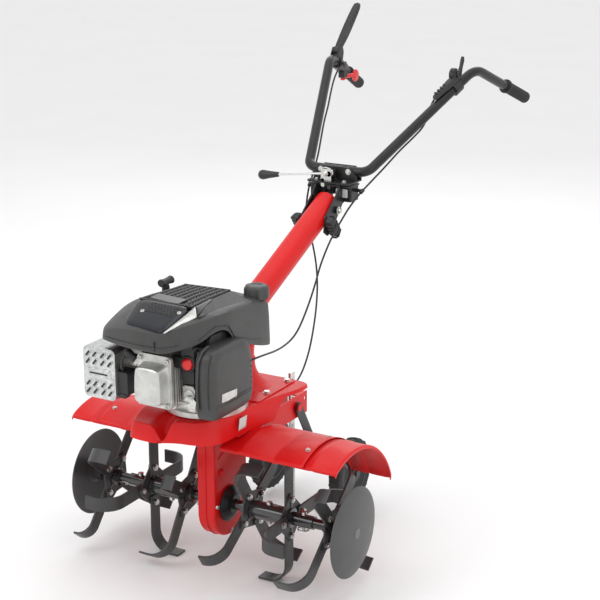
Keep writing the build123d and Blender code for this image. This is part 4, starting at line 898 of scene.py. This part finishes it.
# ---------- tyres with a chevron tread
bm = bmesh.new()
low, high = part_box("wheel_tyres")
wheel_y, wheel_z = (low.y + high.y) / 2 / MM, (low.z + high.z) / 2 / MM
tyre_r = (high.z - low.z) / 2 / MM
for side in (1, -1):
    place = basis((side * 121, wheel_y, wheel_z), (side, 0, 0))
    lathe(bm, place, [(66, -14), (70, -16.5), (78, -17.6), (tyre_r - 8, -17), (tyre_r - 4, -14),
        (tyre_r - 3, 0), (tyre_r - 4, 14), (tyre_r - 8, 17), (78, 17.6), (70, 16.5), (66, 14)], 72)
    for i in range(24):
        for flip in (1, -1):
            spin = place @ Matrix.Rotation(math.radians(15 * i), 4, "Z")
            rows = []
            for z, lag, r in ((0.2, 0, 0), (8, 4.0, -0.4), (15.5, 8.0, -3.0)):
                rows.append([spin @ Vector((tyre_r - 6 + r, lag - 3.2, z * flip)),
                    spin @ Vector((tyre_r + r - 0.4, lag - 2.4, z * flip)),
                    spin @ Vector((tyre_r + r - 0.4, lag + 2.4, z * flip)),
                    spin @ Vector((tyre_r - 6 + r, lag + 3.2, z * flip))])
            loft(bm, rows)
piece("tread_tyres", bm, "tyre_rubber", "wheels", ["wheel_tyres"])

# ---------- head, knobs and lock lever
KNOB_DEPTH = 26.5
cheek_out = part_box("clamp_knobs")[1].x / MM - KNOB_DEPTH
bm = bmesh.new()  # clamp knobs: a domed bar with slanting finger ridges
for side in (1, -1):
    knob = basis((side * cheek_out, 471, 757), (side, 0, 0), (0, 0.6, -0.8))
    outline = rounded(28, 60, 12, 8)
    loft(bm, [[knob @ Vector((x * s, y * s, z)) for x, y in outline]
              for z, s in ((1, 0.80), (3, 0.95), (8, 1.0), (17, 0.98), (22, 0.90), (24.6, 0.72),
                           (25, 0.3))])
    for i in range(5):
        ridge = knob @ Matrix.Translation((0, -22 + 11 * i, 4)) @ Matrix.Rotation(0.35, 4, "Z")
        sweep(bm, [ridge @ Vector((-14.6, 0, 2)), ridge @ Vector((-13.8, 0, 15)),
            ridge @ Vector((-9, 0, 20.6)), ridge @ Vector((9, 0, 20.6)),
            ridge @ Vector((13.8, 0, 15)), ridge @ Vector((14.6, 0, 2))], 2.6, 8)
sweep(bm, [(-43, 471, 757), (43, 471, 757)], 5, 20)
piece("ribbed_knobs", bm, "black_plastic", "clamp_knobs", ["clamp_knobs"])

hub = Vector((0, 544.5, 876))
tip = Vector((-204, 550, 850))
along = (tip - hub).normalized()
reach = (tip - hub).length
place = basis(hub, along)
bm = bmesh.new()
sweep(bm, [hub + along * 6, hub + along * (reach - 30)], 3.6, 20)
lathe(bm, basis(hub, FRONT), [(4.2, -5), (9.2, -5), (10, -4), (10, 4), (9.2, 5), (4.2, 5)], 32)
piece("lock_rod", bm, "chrome_rod", "lock_lever", ["lock_lever"])
bm = bmesh.new()  # tapered knob with a ball end
lathe(bm, place, [(4.2, reach - 48), (6.4, reach - 47), (7.4, reach - 40), (9.0, reach - 26),
    (11.0, reach - 12), (12.8, reach - 2), (13.0, reach + 3), (11.2, reach + 9),
    (7.4, reach + 12.6), (0.2, reach + 14)], 36)
piece("lock_knob", bm, "black_plastic", "lock_lever", ["lock_lever"])
bm = bmesh.new()  # blank plate on the head
slab(bm, basis((34, 544.6, 828), FRONT), rounded(34, 22, 2), 0, 0.9)
piece("head_blank_label", bm, "blank_sticker", "head")
bm = bmesh.new()  # spring, bolts and clamp plates of the saddle
coil = [(4.8 * math.cos(2 * math.pi * 7 * t) - 22, 541 + 1.2 * t,
         866 + 26 * (t - 0.5) * 0.6 + 0.2 * math.sin(2 * math.pi * 7 * t))
        for t in (i / 84 for i in range(85))]
sweep(bm, coil, 0.7, 6)
for x in (-40, 40):
    hex_bolt(bm, (x, 568, 880), FRONT, 11, 6, 8)
    hex_bolt(bm, (x, 545, 857), UP, 9, 5, 7)
slab(bm, basis((-8, 538.5, 870), FRONT), rounded(30, 36, 6), 0, 2.5)
slab(bm, basis((-18, 538.5, 852), FRONT), rounded(10, 22, 4), 0, 2.5)
lathe(bm, basis((-8, 536, 876), FRONT), [(7, 0), (7, 2), (5, 2.6), (5, 6), (3.4, 7), (0.2, 7)], 24)
sweep(bm, [(-20, 537, 890), (-8, 534, 893), (6, 534, 890), (10, 537, 880)], 1.6, 10)
piece("saddle_fasteners", bm, "zinc_steel", "handlebar")
bm = bmesh.new()  # tilt bolt heads and clamp washers on the cheeks
for side in (1, -1):
    hex_bolt(bm, (side * (cheek_out + 5.5), 512, 790), (side, 0, 0), 13, 8, 10)
piece("tilt_bolt_heads", bm, "zinc_steel", "head")

# ---------- grips and levers
bm = bmesh.new()  # grips: ringed sleeves with a collar and a domed end
for side in (1, -1):
    end = Vector((side * 264, 1198, 1001))
    bar_along = (end - Vector((side * 221, 945, 1111))).normalized()
    place = basis(end, bar_along)
    profile = [(12.9, -112), (19.4, -112), (19.8, -110), (19.4, -107), (16.2, -105)]
    for i in range(16):
        z = -101 + 6 * i
        profile += [(14.7, z - 1.8), (16.3, z - 0.6), (16.3, z + 2.2), (14.7, z + 3.4)]
    profile += [(16.4, -2), (16.4, 1.5), (14.5, 3.6), (8, 4.0), (0.2, 4.0)]
    lathe(bm, place, profile, 40)
piece("ringed_grips", bm, "grip_rubber", "handlebar", ["hand_grips"])

bm = bmesh.new()  # clutch lever blade: a ribbed, waisted moulding
CLUTCH_PIVOT = (-231, 1003, 1122)
rise = math.radians(44)
blade = Matrix(((0, 0, 1), (math.cos(rise), -math.sin(rise), 0),
    (math.sin(rise), math.cos(rise), 0))).to_4x4()
blade.translation = Vector(CLUTCH_PIVOT)
outline = [(-6, -6), (20, -9), (60, -12.5), (110, -11.5), (160, -9), (172, -7), (177, 0),
    (172, 7), (160, 9), (110, 11), (60, 10.5), (20, 8), (-6, 6)]
ring = smooth_outline(outline, 2)
loft(bm, [[blade @ Vector((86 + (p.x - 86) * s, p.y * s, z)) for p in ring]
          for z, s in ((-9.0, 0.86), (-7.4, 0.95), (0, 0.985), (7.4, 0.95), (9.0, 0.86))])
for i in range(5):
    x = 96 + 15 * i
    slab(bm, blade @ Matrix.Translation((x, 0, 8.6)), rounded(9, 14 - i, 3), -1, 1.4, inset=0.8)
    slab(bm, blade @ Matrix.Translation((x, 0, -8.6)) @ Matrix.Rotation(math.pi, 4, "X"),
         rounded(9, 14 - i, 3), -1, 1.4, inset=0.8)
lathe(bm, basis(CLUTCH_PIVOT, LEFT), [(5, -9), (7, -6), (10.4, -5.4), (10.4, 5.4), (7, 6),
    (5, 9)], 36)
piece("clutch_blade", bm, "black_plastic", "clutch_lever", ["clutch_lever"])
bm = bmesh.new()  # red cap of the safety button
low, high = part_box("safety_button")
lathe(bm, basis(((low.x + high.x) / 2 / MM, (low.y + high.y) / 2 / MM, low.z / MM), UP, BACK),
      [(0.2, 0.2), (5.2, 0.0), (6.9, 1.4), (7.15, 4), (7.15, 15.5), (6, 16)], 32)
piece("button_cap", bm, "red_plastic", "safety_button", ["safety_button"])

bm = bmesh.new()  # red paddle of the safety button
sweep(bm, [(-231, 1040, 1042), (-228, 1052, 1042), (-221, 1066, 1043), (-219, 1084, 1043)],
    [6, 6, 5.5, 5], 16)
lathe(bm, basis((-219, 1092, 1040), LEFT), [(0.2, -4.5), (11, -4.5), (16, -3), (18, 0), (16, 3),
    (11, 4.5), (0.2, 4.5)], 40)
piece("button_paddle", bm, "red_plastic", "safety_button")

bm = bmesh.new()  # moulded housing of the clutch lever's pivot
for x in (-243.5, -221.5):
    slab(bm, basis((x, 1003, 1112), LEFT), [(-16, -32), (8, -32), (17, 4), (12, 18), (-6, 20),
        (-18, 2)], 0, 3)
piece("lever_cheeks", bm, "black_plastic", "handlebar", bevel=0.8)

arm = Vector((135, 361, 232)).normalized()
seat = Vector((86, 584, 879)) + arm * 366
bm = bmesh.new()  # throttle control: long body on the bar with a round hub
lift = (Vector((0, 0, 1)) - arm * arm.z).normalized()
body_place = Matrix((arm.cross(lift), lift, arm)).transposed().to_4x4()
body_place.translation = seat
loft(bm, [[body_place @ Vector((p[0] * s, 22 + p[1] * s, z)) for p in rounded(18, 16, 5)]
          for z, s in ((-78, 0.55), (-74, 0.8), (-40, 0.95), (-14, 1.25), (12, 1.25), (20, 0.8))])
lathe(bm, basis(seat + Vector((-12, 0, 34)), LEFT), [(0.2, -3), (14, -3), (17, -1), (17, 11),
    (15, 13), (0.2, 13)], 40)
for i in range(4):
    at = body_place @ Vector((0, 31, -66 + 12 * i))
    slab(bm, basis(at, lift, arm), rounded(12, 6, 2), -3, 1.6)
piece("throttle_body", bm, "black_plastic", "handlebar", bevel=0.6)
bm = bmesh.new()  # thumb lever with a rounded tip
low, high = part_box("throttle_lever")
line = [Vector((low.x / MM + 3, seat.y + back, seat.z + rise))
        for back, rise in ((0, 36), (10, 54), (17, 70), (19.5, 80))]
sweep(bm, line, [6.5, 5.0, 5.6, 4.0], 20)
lathe(bm, basis((low.x / MM, seat.y, seat.z + 36), LEFT), [(4.2, 0), (11, 0), (12, 1), (12, 5),
    (11, 6), (4.2, 6)], 36)
piece("thumb_lever", bm, "black_plastic", "throttle_lever", ["throttle_lever"])

ROPE_IN = 16  # length of rope inside the shroud's top at rest
low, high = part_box("starter_rope")  # fixed rope from inside the shroud's top up to the handle
middle = (low + high) / 2
rope_start = Vector((middle.x, middle.y, low.z - ROPE_IN * MM))
rope_end = Vector((middle.x, middle.y, high.z))
bm = bmesh.new()
sweep(bm, [rope_start / MM, rope_start.lerp(rope_end, 0.5) / MM, rope_end / MM], 1.8, 12)
rope = piece("starter_cord", bm, "cable_jacket", None)
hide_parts("starter_rope")
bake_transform(rope)

# ---------- floor
FLOOR = 60000  # half its width
floor_mesh = bmesh.new()
loft(floor_mesh, [[(x * FLOOR, y * FLOOR, z) for x, y in ((-1, -1), (1, -1), (1, 1), (-1, 1))]
                  for z in (-0.5, 0)])
floor = piece("floor", floor_mesh, "floor", None)
